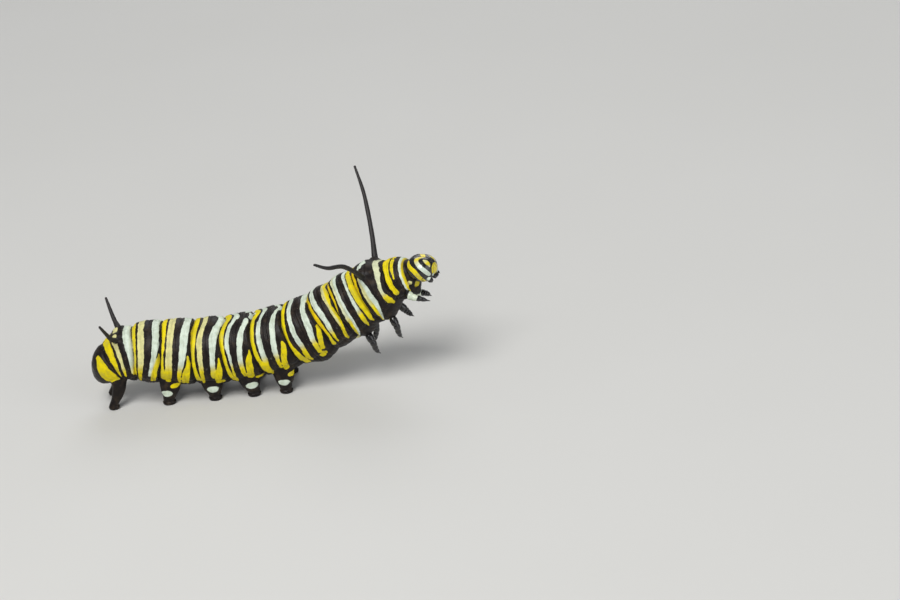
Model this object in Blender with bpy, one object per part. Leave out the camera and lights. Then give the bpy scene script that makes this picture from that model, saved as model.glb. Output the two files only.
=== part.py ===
"""A full-grown monarch larva at life size, walking with its front end raised, as a still model.

The body follows a curved middle line from the tail to the head. +X is towards the head, +Y is the
animal's left and +Z is up. The feet stand on Z = 0 and the origin is under the middle of the model.
Sizes below are in millimetres and angles in degrees.
"""

import math
from dataclasses import dataclass

import bmesh
import bpy
import numpy as np
from mathutils import Vector

# Driving dimensions
MM = 0.001
GAP = 0.3
HEAD_WIDTH = 3.4
FRONT_FILAMENT_LENGTH = 11.0
REAR_FILAMENT_LENGTH = 4.0
ANCHOR_FRACTION = 0.38
ANCHOR = Vector((-6.68, 0.97, 4.65))

# How finely the solids are divided
BODY_SIDES = 24
LIMB_SIDES = 14
THIN_SIDES = 10
SPINE_STEP = 0.05


@dataclass(frozen=True)
class Segment:
    """One ring of the body: its length along the back, its heading, and its full width at the middle."""

    name: str
    length: float
    yaw: float
    pitch: float
    width: float
    waist: float


# From the tail to the head. The waist is the full width at the fold on the segment's tail side.
SEGMENTS = (
    Segment("abdomen_tail", 3.00, 10, 48, 4.50, 1.60),
    Segment("abdomen_8", 2.30, 6, 11, 5.85, 5.10),
    Segment("abdomen_7", 3.30, 2, -5, 7.00, 6.35),
    Segment("abdomen_6", 3.85, 0, -8, 7.40, 7.05),
    Segment("abdomen_5", 3.60, -1, -1, 7.60, 7.35),
    Segment("abdomen_4", 3.50, -1, 5, 7.60, 7.40),
    Segment("abdomen_3", 3.60, -2, 11, 7.50, 7.35),
    Segment("abdomen_2", 3.30, -4, 20, 7.35, 7.20),
    Segment("abdomen_1", 3.15, -6, 27, 7.25, 7.05),
    Segment("metathorax", 3.10, -8, 30, 7.20, 6.95),
    Segment("mesothorax", 3.85, -12, 28, 6.80, 6.70),
    Segment("prothorax", 2.25, -15, 23, 4.60, 5.00),
)
NECK_YAW = -17
NECK_PITCH = 26
NECK_WIDTH = 3.80

# Section of the body: a flat belly, a bulge along each flank, and shallow creases across each segment
BELLY_FLATTENING = 0.07
FLANK_BULGE = 0.03
FLANK_ANGLE = 112
FLANK_SPREAD = 18
WIDTH_EASE = 0.5
FOLD_DEPTH = 0.22
FOLD_REACH = 0.10
CREASE_DEPTH = 0.07
CREASE_REACH = 0.05
CREASES = (0.30, 0.53, 0.76)
FULL_CREASE_LENGTH = 3.60
RING_STATIONS = (0.0, 0.05, 0.14, 0.25, 0.30, 0.40, 0.53, 0.64, 0.76, 0.88, 0.95, 1.0)


@dataclass(frozen=True)
class Swelling:
    """A pair of lobes below the flanks, or one under the neck: its segment, place, height and reach."""

    segment: str
    fraction: float
    angle: float
    height: float
    reach: float
    spread: float


SWELLINGS = (
    Swelling("prothorax", 0.60, 145, 0.20, 1.3, 28),
    Swelling("prothorax", 0.92, 180, 0.60, 0.95, 26),
    Swelling("mesothorax", 0.50, 152, 0.34, 2.3, 28),
    Swelling("metathorax", 0.42, 152, 0.34, 2.0, 28),
    Swelling("abdomen_2", 0.80, 150, 0.55, 1.9, 26),
)

# Tail cone
TAIL_ROUNDING = 1.05
TAIL_STATIONS = (0.015, 0.07, 0.16, 0.28, 0.42, 0.58, 0.74, 0.88, 0.95, 1.0)

# Head
HEAD_YAW = -23
HEAD_PITCH = 6
HEAD_SET = 1.5
HEAD_UP = 1.45
HEAD_DOWN = 1.42
HEAD_FRONT = 1.62
HEAD_BACK = 1.9
HEAD_ROUNDNESS = 2.3
HEAD_SIDES = 24
NECK_RING = 1.45
# Rings behind the face: how far forward, how far turned from the neck to the face, and how far raised
HEAD_STATIONS = (
    (-1.10, 0.35, 0.16),
    (-0.80, 0.60, 0.14),
    (-0.45, 0.85, 0.08),
    (0.0, 1.0, 0.0),
    (0.42, 1.0, 0.0),
)
FACE_STATIONS = (0.92, 0.80, 0.62, 0.42, 0.20)
FACE_RIM = 0.999
CROWN_NOTCH = 0.05
CROWN_NOTCH_SPREAD = 14


@dataclass(frozen=True)
class Proleg:
    """A fleshy foot: the segment it grows from, where its root and its sole are, and its girth."""

    name: str
    segment: str
    root_fraction: float
    root_angle: float
    sole_fraction: float
    sole_left: float
    root_along: float
    root_across: float


PROLEGS = (
    Proleg("proleg_3", "abdomen_3", 0.46, 143, 0.62, 2.35, 1.15, 0.90),
    Proleg("proleg_4", "abdomen_4", 0.42, 143, 0.60, 2.40, 1.15, 0.90),
    Proleg("proleg_5", "abdomen_5", 0.36, 143, 0.38, 2.45, 1.15, 0.90),
    Proleg("proleg_6", "abdomen_6", 0.20, 143, 0.00, 2.40, 1.15, 0.90),
    Proleg("proleg_anal", "abdomen_tail", 0.70, 140, 0.62, 1.80, 0.95, 0.80),
)
FULL_PROLEG_ROOT = 1.15

# Rings of a fleshy foot: how far down its length, or how high off the floor, and its radii along and across
THIGH = (0.22, 1.10, 0.86)
CALF = (0.50, 0.86, 0.74)
ANKLE_TOP = 0.58
ANKLE_SHARE = 0.72
LEAN_RATE = 1.6
ANKLE = (0.52, 0.62, 0.52)
INSTEP = (0.34, 0.74, 0.60)
HEEL = (0.14, 0.74, 0.60)
SOLE = (0.0, 0.66, 0.52)

# Jointed legs, from hip to claw
LEG_RADII = (0.46, 0.40, 0.34, 0.30, 0.25, 0.25, 0.12)
LEG_TIP_SHARE = 0.25


@dataclass(frozen=True)
class Leg:
    """A jointed leg: its root's place, and its knee, ankle and claw as steps forward, left and up."""

    name: str
    segment: str
    root_fraction: float
    root_angle: float
    knee: tuple
    ankle: tuple
    claw: tuple


LEGS = (
    Leg(
        "leg_front_left", "prothorax", 0.60, 160,
        knee=(0.46, 0.05, -0.32), ankle=(0.90, -0.10, -0.54), claw=(1.28, -0.35, -0.82),
    ),
    Leg(
        "leg_front_right", "prothorax", 0.78, -130,
        knee=(0.42, -0.05, -0.42), ankle=(0.92, 0.10, -0.87), claw=(1.50, 0.35, -1.52),
    ),
    Leg(
        "leg_middle_left", "mesothorax", 0.55, 158,
        knee=(0.10, 0.05, -0.50), ankle=(0.25, 0.00, -0.90), claw=(0.50, -0.20, -1.30),
    ),
    Leg(
        "leg_middle_right", "mesothorax", 0.50, -154,
        knee=(-0.05, -0.15, -0.70), ankle=(-0.35, -0.05, -1.40), claw=(-0.60, 0.30, -2.15),
    ),
    Leg(
        "leg_hind_left", "metathorax", 0.38, 156,
        knee=(-0.35, 0.05, -0.60), ankle=(-0.80, -0.05, -1.10), claw=(-1.25, -0.35, -1.60),
    ),
    Leg(
        "leg_hind_right", "metathorax", 0.42, -154,
        knee=(-0.05, -0.15, -0.75), ankle=(-0.30, -0.05, -1.45), claw=(-0.45, 0.30, -2.20),
    ),
)

# Girth of a filament: half its width at the root, along its middle and at its tip
FILAMENT_ROOT = 0.34
FILAMENT_MIDDLE = 0.26
FILAMENT_TIP = 0.11
FILAMENT_ROOT_SHARE = 0.25
FILAMENT_TAPER = 3
FILAMENT_SIDES = 8


@dataclass(frozen=True)
class Filament:
    """A soft filament: where its root is, its side, its length, and its path in parts of that length."""

    name: str
    segment: str
    root_fraction: float
    root_angle: float
    side: int
    length: float
    stations: int
    steps: tuple


# Each step of a filament's path runs forward, outward and up from its root
FILAMENTS = (
    Filament(
        "filament_front_left", "mesothorax", 0.60, 44, 1, FRONT_FILAMENT_LENGTH, 12,
        ((0.0, 0.0, 0.0), (0.03, 0.17, 0.17), (0.06, 0.35, 0.38), (0.07, 0.49, 0.54), (0.06, 0.66, 0.75)),
    ),
    Filament(
        "filament_front_right", "mesothorax", 0.60, 44, -1, FRONT_FILAMENT_LENGTH, 12,
        ((0.0, 0.0, 0.0), (0.04, 0.14, 0.13), (0.06, 0.31, 0.27), (0.05, 0.54, 0.38), (0.05, 0.71, 0.51)),
    ),
    Filament(
        "filament_rear_left", "abdomen_8", 0.60, 32, 1, REAR_FILAMENT_LENGTH, 6,
        ((0.0, 0.0, 0.0), (-0.06, 0.20, 0.16), (-0.10, 0.38, 0.33), (-0.16, 0.72, 0.64)),
    ),
    Filament(
        "filament_rear_right", "abdomen_8", 0.60, 32, -1, REAR_FILAMENT_LENGTH, 6,
        ((0.0, 0.0, 0.0), (-0.08, 0.16, 0.16), (-0.11, 0.28, 0.35), (-0.15, 0.59, 0.78)),
    ),
)


@dataclass(frozen=True)
class FacePiece:
    """A mouthpart or feeler: its place on the face, half its height and width, its reach and its lean."""

    name: str
    left: float
    up: float
    half_height: float
    half_width: float
    reach: float
    lean_up: float
    lean_out: float
    sides: int


# A piece that stands off the middle of the face has a twin on the other side
FACE_PIECES = (
    FacePiece("labrum", 0.0, -0.84, 0.26, 0.48, 0.32, -0.8, 0.0, 12),
    FacePiece("labium", 0.0, -1.35, 0.25, 0.36, 0.32, -1.6, 0.0, 12),
    FacePiece("mandible", 0.58, -1.08, 0.25, 0.26, 0.34, -0.9, -0.1, 10),
    FacePiece("antenna", 0.94, -0.80, 0.22, 0.22, 0.40, -0.8, 0.0, 10),
)
# How far along its reach each ring of a face piece is, and its share of the full girth
FACE_PIECE_RINGS = ((0.45, 1.0), (0.80, 0.86), (1.0, 0.50))
FACE_PIECE_TIP = 1.06

# Colours and finishes
SHARP_ANGLE = 50
SKIN_COLOURS = ((0.75, 0.62, 0.05), (0.72, 0.74, 0.55))
DARK_SKIN = (0.02, 0.016, 0.016)
HEAD_COLOUR = (0.05, 0.045, 0.04)
SKIN_ROUGHNESS = 0.5
FOOT_ROUGHNESS = 0.4
LEG_ROUGHNESS = 0.2
HEAD_SHINE_ROUGHNESS = 0.3
FILAMENT_ROUGHNESS = 0.6


@dataclass(frozen=True)
class Frame:
    """A place with three square directions: forward, to the left, and up."""

    origin: Vector
    forward: Vector
    left: Vector
    up: Vector

    def at(self, forward, left, up):
        """Return the point that lies these distances from the origin."""
        return self.origin + self.forward * forward + self.left * left + self.up * up

    def blended(self, other, share, origin):
        """Return a frame whose directions lie between this one's and another's."""
        return frame_along(origin, self.forward.lerp(other.forward, share))


def frame_along(origin, forward):
    """Return the upright frame at a place that looks along a direction."""
    forward = forward.normalized()
    left = Vector((0, 0, 1)).cross(forward).normalized()
    return Frame(origin, forward, left, forward.cross(left))


def heading(yaw, pitch):
    """Return the direction with a heading to the left and a climb, both in degrees."""
    turn = math.radians(yaw)
    climb = math.radians(pitch)
    return Vector((math.cos(climb) * math.cos(turn), math.cos(climb) * math.sin(turn), math.sin(climb)))


def dip(distance, reach):
    """Return 1 at no distance, falling smoothly to 0 at the reach."""
    share = min(abs(distance) / reach, 1.0)
    return 0.5 + 0.5 * math.cos(math.pi * share)


class Body:
    """The middle line of the body and the surface round it."""

    def __init__(self):
        self.starts = {}
        reach = 0.0
        for segment in SEGMENTS:
            self.starts[segment.name] = reach
            reach += segment.length
        self.neck = reach
        self.length = reach + 2 * HEAD_SET
        middles = [self.starts[ring.name] + ring.length / 2 for ring in SEGMENTS] + [reach + HEAD_SET]
        self.travel = np.arange(0, self.length + SPINE_STEP, SPINE_STEP)
        yaws = np.interp(self.travel, middles, [ring.yaw for ring in SEGMENTS] + [NECK_YAW])
        pitches = np.interp(self.travel, middles, [ring.pitch for ring in SEGMENTS] + [NECK_PITCH])
        self.directions = np.array([heading(yaw, pitch) for yaw, pitch in zip(yaws, pitches)])
        steps = (self.directions[1:] + self.directions[:-1]) / 2 * SPINE_STEP
        self.line = np.vstack([np.zeros(3), np.cumsum(steps, axis=0)])
        self.line += np.array(ANCHOR) - np.array(self.place(self.along("abdomen_5", ANCHOR_FRACTION)))
        knots = [(self.starts[ring.name], ring.waist / 2) for ring in SEGMENTS]
        knots += [(self.starts[ring.name] + ring.length / 2, ring.width / 2) for ring in SEGMENTS]
        knots.append((self.neck, NECK_WIDTH / 2))
        self.knots = sorted(knots)

    def along(self, name, fraction):
        """Return the distance from the tail tip to a fraction of a segment's length."""
        length = next(ring.length for ring in SEGMENTS if ring.name == name)
        return self.starts[name] + fraction * length

    def read(self, table, travel):
        """Return a row of a table kept along the middle line, at a distance from the tail tip."""
        return Vector([float(np.interp(travel, self.travel, column)) for column in table.T])

    def place(self, travel):
        """Return the point of the middle line at a distance from the tail tip."""
        return self.read(self.line, travel)

    def frame(self, travel):
        """Return the frame of the middle line at a distance from the tail tip."""
        return frame_along(self.place(travel), self.read(self.directions, travel))

    def envelope(self, travel):
        """Return the half width of the body, without its folds and creases."""
        tail = SEGMENTS[0].length
        if travel < tail:
            fraction = max(travel / tail, 0.0)
            return SEGMENTS[1].waist / 2 * math.sqrt(1 - (1 - fraction) ** TAIL_ROUNDING)
        distances = [knot[0] for knot in self.knots]
        after = min(max(int(np.searchsorted(distances, travel)), 1), len(self.knots) - 1)
        (low, low_radius), (high, high_radius) = self.knots[after - 1], self.knots[after]
        share = min(max((travel - low) / (high - low), 0.0), 1.0)
        ease = share * share * (3 - 2 * share)
        return low_radius + (high_radius - low_radius) * (WIDTH_EASE * ease + (1 - WIDTH_EASE) * share)

    def radius(self, travel, angle):
        """Return the body's radius at an angle from the back, in radians, with its lobes but no folds."""
        turn = math.degrees(abs(math.atan2(math.sin(angle), math.cos(angle))))
        belly = BELLY_FLATTENING * max(0.0, -math.cos(angle)) ** 4
        flank = FLANK_BULGE * math.exp(-(((turn - FLANK_ANGLE) / FLANK_SPREAD) ** 2))
        radius = self.envelope(travel) * (1 - belly + flank)
        for lobe in SWELLINGS:
            distance = travel - self.along(lobe.segment, lobe.fraction)
            share = math.exp(-(((turn - lobe.angle) / lobe.spread) ** 2))
            radius += lobe.height * dip(distance, lobe.reach) * share
        return radius

    def surface(self, travel, angle, lift=0.0):
        """Return the point of the body's surface at an angle from the back towards the animal's left."""
        frame = self.frame(travel)
        radius = self.radius(travel, angle) + lift
        return frame.at(0, radius * math.sin(angle), radius * math.cos(angle))

    def drop(self, point, near, lift):
        """Return the nearest place to a point on the surface, raised by the lift, close to a travel."""
        travel = near
        for _ in range(3):
            frame = self.frame(travel)
            travel += (point - frame.origin).dot(frame.forward)
        frame = self.frame(travel)
        offset = point - frame.origin
        return self.surface(travel, math.atan2(offset.dot(frame.left), offset.dot(frame.up)), lift)


class Head:
    """The head capsule: a rounded box on the neck, turned to the animal's right."""

    def __init__(self, body):
        self.neck = body.frame(body.neck + GAP / 2)
        centre = body.place(body.neck + HEAD_SET)
        self.frame = frame_along(centre, heading(HEAD_YAW, HEAD_PITCH))

    def radius(self, angle):
        """Return the capsule's greatest radius at an angle from the crown, with the groove over the crown."""
        up = HEAD_UP if math.cos(angle) > 0 else HEAD_DOWN
        across = HEAD_WIDTH / 2
        round_radius = 1 / math.hypot(math.sin(angle) / across, math.cos(angle) / up)
        turn = math.degrees(math.atan2(math.sin(angle), math.cos(angle)))
        return round_radius * (1 - CROWN_NOTCH * math.exp(-((turn / CROWN_NOTCH_SPREAD) ** 2)))

    def swell(self, forward):
        """Return the share of the greatest radius at a distance in front of the middle."""
        reach = HEAD_FRONT if forward > 0 else HEAD_BACK
        share = min(abs(forward) / reach, 1.0)
        return (1 - share**HEAD_ROUNDNESS) ** (1 / HEAD_ROUNDNESS)

    def face(self, left, up, lift=0.0):
        """Return the point of the face at a place across and up, raised forward by the lift."""
        angle = math.atan2(left, up)
        share = min(math.hypot(left, up) / (self.radius(angle) + lift), FACE_RIM)
        depth = (1 - share**HEAD_ROUNDNESS) ** (1 / HEAD_ROUNDNESS)
        return self.frame.at((HEAD_FRONT + lift) * depth, left, up)


def make_material(name, colour, roughness):
    """Return a material with a plain colour and roughness."""
    material = bpy.data.materials.new(name)
    material.use_nodes = True
    shader = material.node_tree.nodes["Principled BSDF"]
    shader.inputs["Base Color"].default_value = (*colour, 1)
    shader.inputs["Roughness"].default_value = roughness
    shader.inputs["Metallic"].default_value = 0
    return material


def skin_rings(mesh, rings, start, end):
    """Join rings of equal count into one closed skin. Each end is a list of inner points or a flat face."""
    loops = [[mesh.verts.new(point * MM) for point in ring] for ring in rings]
    count = len(loops[0])
    for low, high in zip(loops, loops[1:]):
        for index in range(count):
            after = (index + 1) % count
            mesh.faces.new((low[index], low[after], high[after], high[index]))
    for loop, tip in ((loops[0], start), (loops[-1], end)):
        if tip is None:
            mesh.faces.new(loop)
        else:
            point = mesh.verts.new(tip * MM)
            for index in range(count):
                mesh.faces.new((loop[index], loop[(index + 1) % count], point))


def add_object(name, rings, colour, roughness, start=None, end=None):
    """Add one closed, smooth-shaded object from rings that run from its root to its tip."""
    mesh = bmesh.new()
    skin_rings(mesh, rings, start, end)
    bmesh.ops.recalc_face_normals(mesh, faces=mesh.faces)
    data = bpy.data.meshes.new(name)
    mesh.to_mesh(data)
    mesh.free()
    data.shade_smooth()
    data.set_sharp_from_angle(angle=math.radians(SHARP_ANGLE))
    data.materials.append(make_material(name, colour, roughness))
    bpy.context.collection.objects.link(bpy.data.objects.new(name, data))


def turn_angles(count):
    """Return evenly spaced angles once round."""
    return [2 * math.pi * index / count for index in range(count)]


def segment_depth(fraction, length):
    """Return how deep the folds and creases are at a fraction of a segment's length."""
    depth = FOLD_DEPTH * max(dip(fraction, FOLD_REACH), dip(1 - fraction, FOLD_REACH))
    for crease in CREASES:
        depth += CREASE_DEPTH * dip(fraction - crease, CREASE_REACH)
    return depth * min(length / FULL_CREASE_LENGTH, 1.0)


def build_segment(body, index):
    """Build one body segment between the two cuts that divide it from its neighbours."""
    segment = SEGMENTS[index]
    start = body.starts[segment.name] + GAP / 2
    length = segment.length - GAP
    rings = []
    for fraction in RING_STATIONS:
        travel = start + fraction * length
        depth = segment_depth(fraction, segment.length)
        rings.append([body.surface(travel, angle, -depth) for angle in turn_angles(BODY_SIDES)])
    add_object(segment.name, rings, SKIN_COLOURS[index % 2], SKIN_ROUGHNESS)


def build_tail(body):
    """Build the last two body rings as one cone that ends in the anal plate."""
    segment = SEGMENTS[0]
    rings = []
    for fraction in TAIL_STATIONS:
        travel = fraction * (segment.length - GAP / 2)
        depth = FOLD_DEPTH * dip(1 - fraction, FOLD_REACH)
        rings.append([body.surface(travel, angle, -depth) for angle in turn_angles(BODY_SIDES)])
    add_object(segment.name, rings, SKIN_COLOURS[0], SKIN_ROUGHNESS, start=body.place(0.0))


def build_head(head):
    """Build the head capsule from the neck to the face."""
    angles = turn_angles(HEAD_SIDES)
    neck = head.neck
    rings = [[neck.at(0, NECK_RING * math.sin(turn), NECK_RING * math.cos(turn)) for turn in angles]]
    for forward, blend, rise in HEAD_STATIONS:
        frame = neck.blended(head.frame, blend, head.frame.origin)
        swell = head.swell(forward)
        ring = []
        for turn in angles:
            radius = head.radius(turn) * swell
            ring.append(frame.at(forward, radius * math.sin(turn), radius * math.cos(turn) + rise))
        rings.append(ring)
    for share in FACE_STATIONS:
        ring = []
        for turn in angles:
            radius = head.radius(turn) * share
            ring.append(head.face(radius * math.sin(turn), radius * math.cos(turn)))
        rings.append(ring)
    add_object("head", rings, HEAD_COLOUR, HEAD_SHINE_ROUGHNESS, end=head.frame.at(HEAD_FRONT, 0, 0))


def ring_about(centre, axis, along, radii, count):
    """Return a ring round an axis whose first direction is as near as can be to the one given."""
    axis = axis.normalized()
    first = (along - axis * along.dot(axis)).normalized()
    second = axis.cross(first)
    return [
        centre + first * (radii[0] * math.cos(turn)) + second * (radii[1] * math.sin(turn))
        for turn in turn_angles(count)
    ]


def root_rings(drop, centre, axis, along, radii, count):
    """Return the middle point and two rings of a root face that follows the surface it meets."""
    inner = ring_about(centre, axis, along, (radii[0] / 2, radii[1] / 2), count)
    outer = ring_about(centre, axis, along, radii, count)
    return drop(centre), [[drop(point) for point in inner], [drop(point) for point in outer]]


def build_proleg(body, plan, side):
    """Build one fleshy foot from the flank down to its flat sole on the floor."""
    root_travel = body.along(plan.segment, plan.root_fraction)
    angle = side * math.radians(plan.root_angle)
    root = body.surface(root_travel, angle, GAP)
    axis = (root - body.place(root_travel)).normalized()
    sole_frame = body.frame(body.along(plan.segment, plan.sole_fraction))
    level = Vector((sole_frame.forward.x, sole_frame.forward.y, 0)).normalized()
    sole = sole_frame.origin + sole_frame.left * (side * plan.sole_left)
    sole.z = 0
    down = Vector((0, 0, -1))
    size = plan.root_along / FULL_PROLEG_ROOT
    middle, rings = root_rings(
        lambda point: body.drop(point, root_travel, GAP),
        root,
        axis,
        level,
        (plan.root_along, plan.root_across),
        LIMB_SIDES,
    )
    height = root.z
    for share, along, across in (THIGH, CALF):
        centre = root.lerp(sole, share)
        centre.z = height + (ANKLE_TOP - height) * share / ANKLE_SHARE
        lean = axis.lerp(down, min(share * LEAN_RATE, 1.0))
        rings.append(ring_about(centre, lean, level, (along * size, across * size), LIMB_SIDES))
    for rise, along, across in (ANKLE, INSTEP, HEEL, SOLE):
        centre = Vector((sole.x, sole.y, rise))
        rings.append(ring_about(centre, down, level, (along * size, across * size), LIMB_SIDES))
    name = plan.name + ("_left" if side > 0 else "_right")
    add_object(name, rings, DARK_SKIN, FOOT_ROUGHNESS, start=middle)


def smooth_path(points, count):
    """Return points spread evenly along a smooth curve through the points given."""
    knots = [points[0] * 2 - points[1]] + list(points) + [points[-1] * 2 - points[-2]]
    path = []
    for index in range(count):
        reach = index / (count - 1) * (len(points) - 1)
        low = min(int(reach), len(points) - 2)
        share = reach - low
        before, start, finish, after = knots[low : low + 4]
        bend = before * 2 - start * 5 + finish * 4 - after
        curl = start * 3 - before - finish * 3 + after
        path.append((start * 2 + (finish - before) * share + bend * share**2 + curl * share**3) / 2)
    return path


def build_leg(body, plan):
    """Build one jointed leg with swollen joints and a claw at its tip."""
    root_travel = body.along(plan.segment, plan.root_fraction)
    root = body.surface(root_travel, math.radians(plan.root_angle), GAP)
    frame = body.frame(root_travel)
    axis = (root - frame.origin).normalized()
    middle, rings = root_rings(
        lambda point: body.drop(point, root_travel, GAP),
        root,
        axis,
        frame.forward,
        (LEG_RADII[0], LEG_RADII[0]),
        THIN_SIDES,
    )
    corners = [root]
    for forward, left, up in (plan.knee, plan.ankle, plan.claw):
        corners.append(root + frame.forward * forward + frame.left * left + frame.up * up)
    path = smooth_path(corners, len(LEG_RADII))
    for index in range(1, len(path)):
        after = path[min(index + 1, len(path) - 1)]
        direction = after - path[index - 1]
        radius = LEG_RADII[index]
        rings.append(ring_about(path[index], direction, frame.forward, (radius, radius), THIN_SIDES))
    tip = path[-1] + (path[-1] - path[-2]) * LEG_TIP_SHARE
    add_object(plan.name, rings, DARK_SKIN, LEG_ROUGHNESS, start=middle, end=tip)


def filament_girth(share):
    """Return half a filament's width at a share of its length: flared at its root, tapered to its tip."""
    flare = (FILAMENT_ROOT - FILAMENT_MIDDLE) * max(0.0, 1 - share / FILAMENT_ROOT_SHARE)
    taper = (FILAMENT_MIDDLE - FILAMENT_TIP) * share**FILAMENT_TAPER
    return FILAMENT_MIDDLE + flare - taper


def build_filament(body, plan):
    """Build one soft filament from its root on the black band to its tip."""
    root_travel = body.along(plan.segment, plan.root_fraction)
    root = body.surface(root_travel, plan.side * math.radians(plan.root_angle), GAP)
    frame = body.frame(root_travel)
    points = []
    for forward, outward, up in plan.steps:
        step = frame.forward * forward + frame.left * (plan.side * outward) + frame.up * up
        points.append(root + step * plan.length)
    path = smooth_path(points, plan.stations)
    middle, rings = root_rings(
        lambda point: body.drop(point, root_travel, GAP),
        root,
        (root - frame.origin).normalized(),
        frame.forward,
        (FILAMENT_ROOT, FILAMENT_ROOT),
        FILAMENT_SIDES,
    )
    for index in range(1, plan.stations):
        after = path[min(index + 1, plan.stations - 1)]
        radius = filament_girth(index / (plan.stations - 1))
        direction = after - path[index - 1]
        rings.append(ring_about(path[index], direction, frame.forward, (radius, radius), FILAMENT_SIDES))
    tip = path[-1] + (path[-1] - path[-2]).normalized() * FILAMENT_TIP
    add_object(plan.name, rings, DARK_SKIN, FILAMENT_ROUGHNESS, start=middle, end=tip)


def build_face_piece(head, plan, name, side):
    """Build a mouthpart or feeler that stands out of the face, from its root to its rounded tip."""
    face = head.frame
    size = (plan.half_height, plan.half_width)
    root = head.face(side * plan.left, plan.up, GAP)
    outward = (face.forward + face.up * plan.lean_up + face.left * (side * plan.lean_out)).normalized()
    flat = ring_about(root, face.forward, face.up, size, plan.sides)

    def drop(point):
        """Return the place just off the face in front of a point."""
        offset = point - face.origin
        return head.face(offset.dot(face.left), offset.dot(face.up), GAP)

    rings = [[drop((root + point) / 2) for point in flat], [drop(point) for point in flat]]
    for share, girth in FACE_PIECE_RINGS:
        centre = root + outward * (plan.reach * share)
        radii = (size[0] * girth, size[1] * girth)
        rings.append(ring_about(centre, outward, face.up, radii, plan.sides))
    tip = root + outward * (plan.reach * FACE_PIECE_TIP)
    add_object(name, rings, HEAD_COLOUR, HEAD_SHINE_ROUGHNESS, start=drop(root), end=tip)


def build_model():
    """Build every node of the larva."""
    body = Body()
    head = Head(body)
    build_tail(body)
    for index in range(1, len(SEGMENTS)):
        build_segment(body, index)
    build_head(head)
    for plan in PROLEGS:
        for side in (1, -1):
            build_proleg(body, plan, side)
    for plan in LEGS:
        build_leg(body, plan)
    for plan in FILAMENTS:
        build_filament(body, plan)
    for plan in FACE_PIECES:
        if plan.left:
            build_face_piece(head, plan, plan.name + "_left", 1)
            build_face_piece(head, plan, plan.name + "_right", -1)
        else:
            build_face_piece(head, plan, plan.name, 1)


def main():
    """Clear the scene and build the larva."""
    for old in list(bpy.data.objects):
        bpy.data.objects.remove(old)
    build_model()


main()
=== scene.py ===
"""The looks of a full-grown monarch larva at life size, walking with its front end raised.

One banded skin covers the flesh of the body and its fleshy feet. The head, mouthparts, feelers, jointed
legs and filaments are pieces of their own. Sizes are in millimetres and angles in degrees, and a
finished mesh is scaled to metres. A turn is the angle round the body from the middle of the back, and
is positive towards the animal's left.
"""

import logging
import math
from dataclasses import dataclass, field
from enum import Enum
from typing import Callable, Iterator, Sequence

import bmesh
import bpy
import numpy as np
from mathutils import Matrix, Vector, noise


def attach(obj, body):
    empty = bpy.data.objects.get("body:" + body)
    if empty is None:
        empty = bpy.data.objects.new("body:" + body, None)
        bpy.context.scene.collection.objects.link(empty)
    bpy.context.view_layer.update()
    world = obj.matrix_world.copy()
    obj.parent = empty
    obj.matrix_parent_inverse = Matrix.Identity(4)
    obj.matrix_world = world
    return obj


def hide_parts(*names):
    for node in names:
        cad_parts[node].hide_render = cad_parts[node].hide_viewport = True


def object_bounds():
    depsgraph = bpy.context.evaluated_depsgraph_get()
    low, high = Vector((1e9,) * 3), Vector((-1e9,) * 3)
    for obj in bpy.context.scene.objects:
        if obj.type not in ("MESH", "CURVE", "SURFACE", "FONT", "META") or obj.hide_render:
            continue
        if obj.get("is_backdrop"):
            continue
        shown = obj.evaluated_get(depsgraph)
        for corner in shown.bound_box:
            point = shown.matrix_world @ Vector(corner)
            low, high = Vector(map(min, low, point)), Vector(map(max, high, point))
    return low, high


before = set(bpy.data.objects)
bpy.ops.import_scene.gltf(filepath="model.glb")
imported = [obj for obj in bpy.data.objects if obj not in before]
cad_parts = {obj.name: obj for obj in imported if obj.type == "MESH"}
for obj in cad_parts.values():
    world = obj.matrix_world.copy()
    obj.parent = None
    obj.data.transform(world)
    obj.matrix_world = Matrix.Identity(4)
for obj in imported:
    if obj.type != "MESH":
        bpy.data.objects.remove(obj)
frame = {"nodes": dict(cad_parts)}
CAD_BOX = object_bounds()

LOG = logging.getLogger("larva")
MM = 0.001
BODY = "root"
Triple = tuple[float, float, float]
# The place that counts as outside every light band, in millimetres
OUTSIDE = -1.0
WAVE_PHASES = 6.28
# Shared by the finishes: the middle of the noise, and the heights of mottling and pebbles in the grain
NOISE_MIDDLE = 0.5
MOTTLE_HEIGHT = 0.6
PEBBLE_HEIGHT = 0.4
BUMP_STRENGTH = 0.6

# Driving dimensions, the same as the solids have
GAP = 0.3
HEAD_WIDTH = 3.4
FRONT_FILAMENT_LENGTH = 11.0
REAR_FILAMENT_LENGTH = 4.0
ANCHOR_FRACTION = 0.38
ANCHOR = np.array((-6.68, 0.97, 4.65))
LINE_STEP = 0.05


class Tint(Enum):
    """The light colours of the bands, as places on the skin's colour scale."""

    WHITE = 0.0
    IVORY = 0.18
    CREAM = 0.35
    YELLOW = 0.70
    ORANGE = 1.0


class Slot(Enum):
    """The record's material slots."""

    SKIN = "banded_skin"
    HEAD = "head_shell"
    LEG = "leg_shell"
    FILAMENT = "filament"


@dataclass(frozen=True)
class BodyRing:
    """One ring of the body.

    The waist is the full width on the tail side. The fold on that side lies fold_shift ahead of the
    ring's start on the flank, and fold_lean more at the back, the shoulder, the flank and the low side.
    """

    name: str
    length: float
    yaw: float
    pitch: float
    width: float
    waist: float
    fold_shift: float
    fold_lean: tuple[float, float, float, float]


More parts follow.
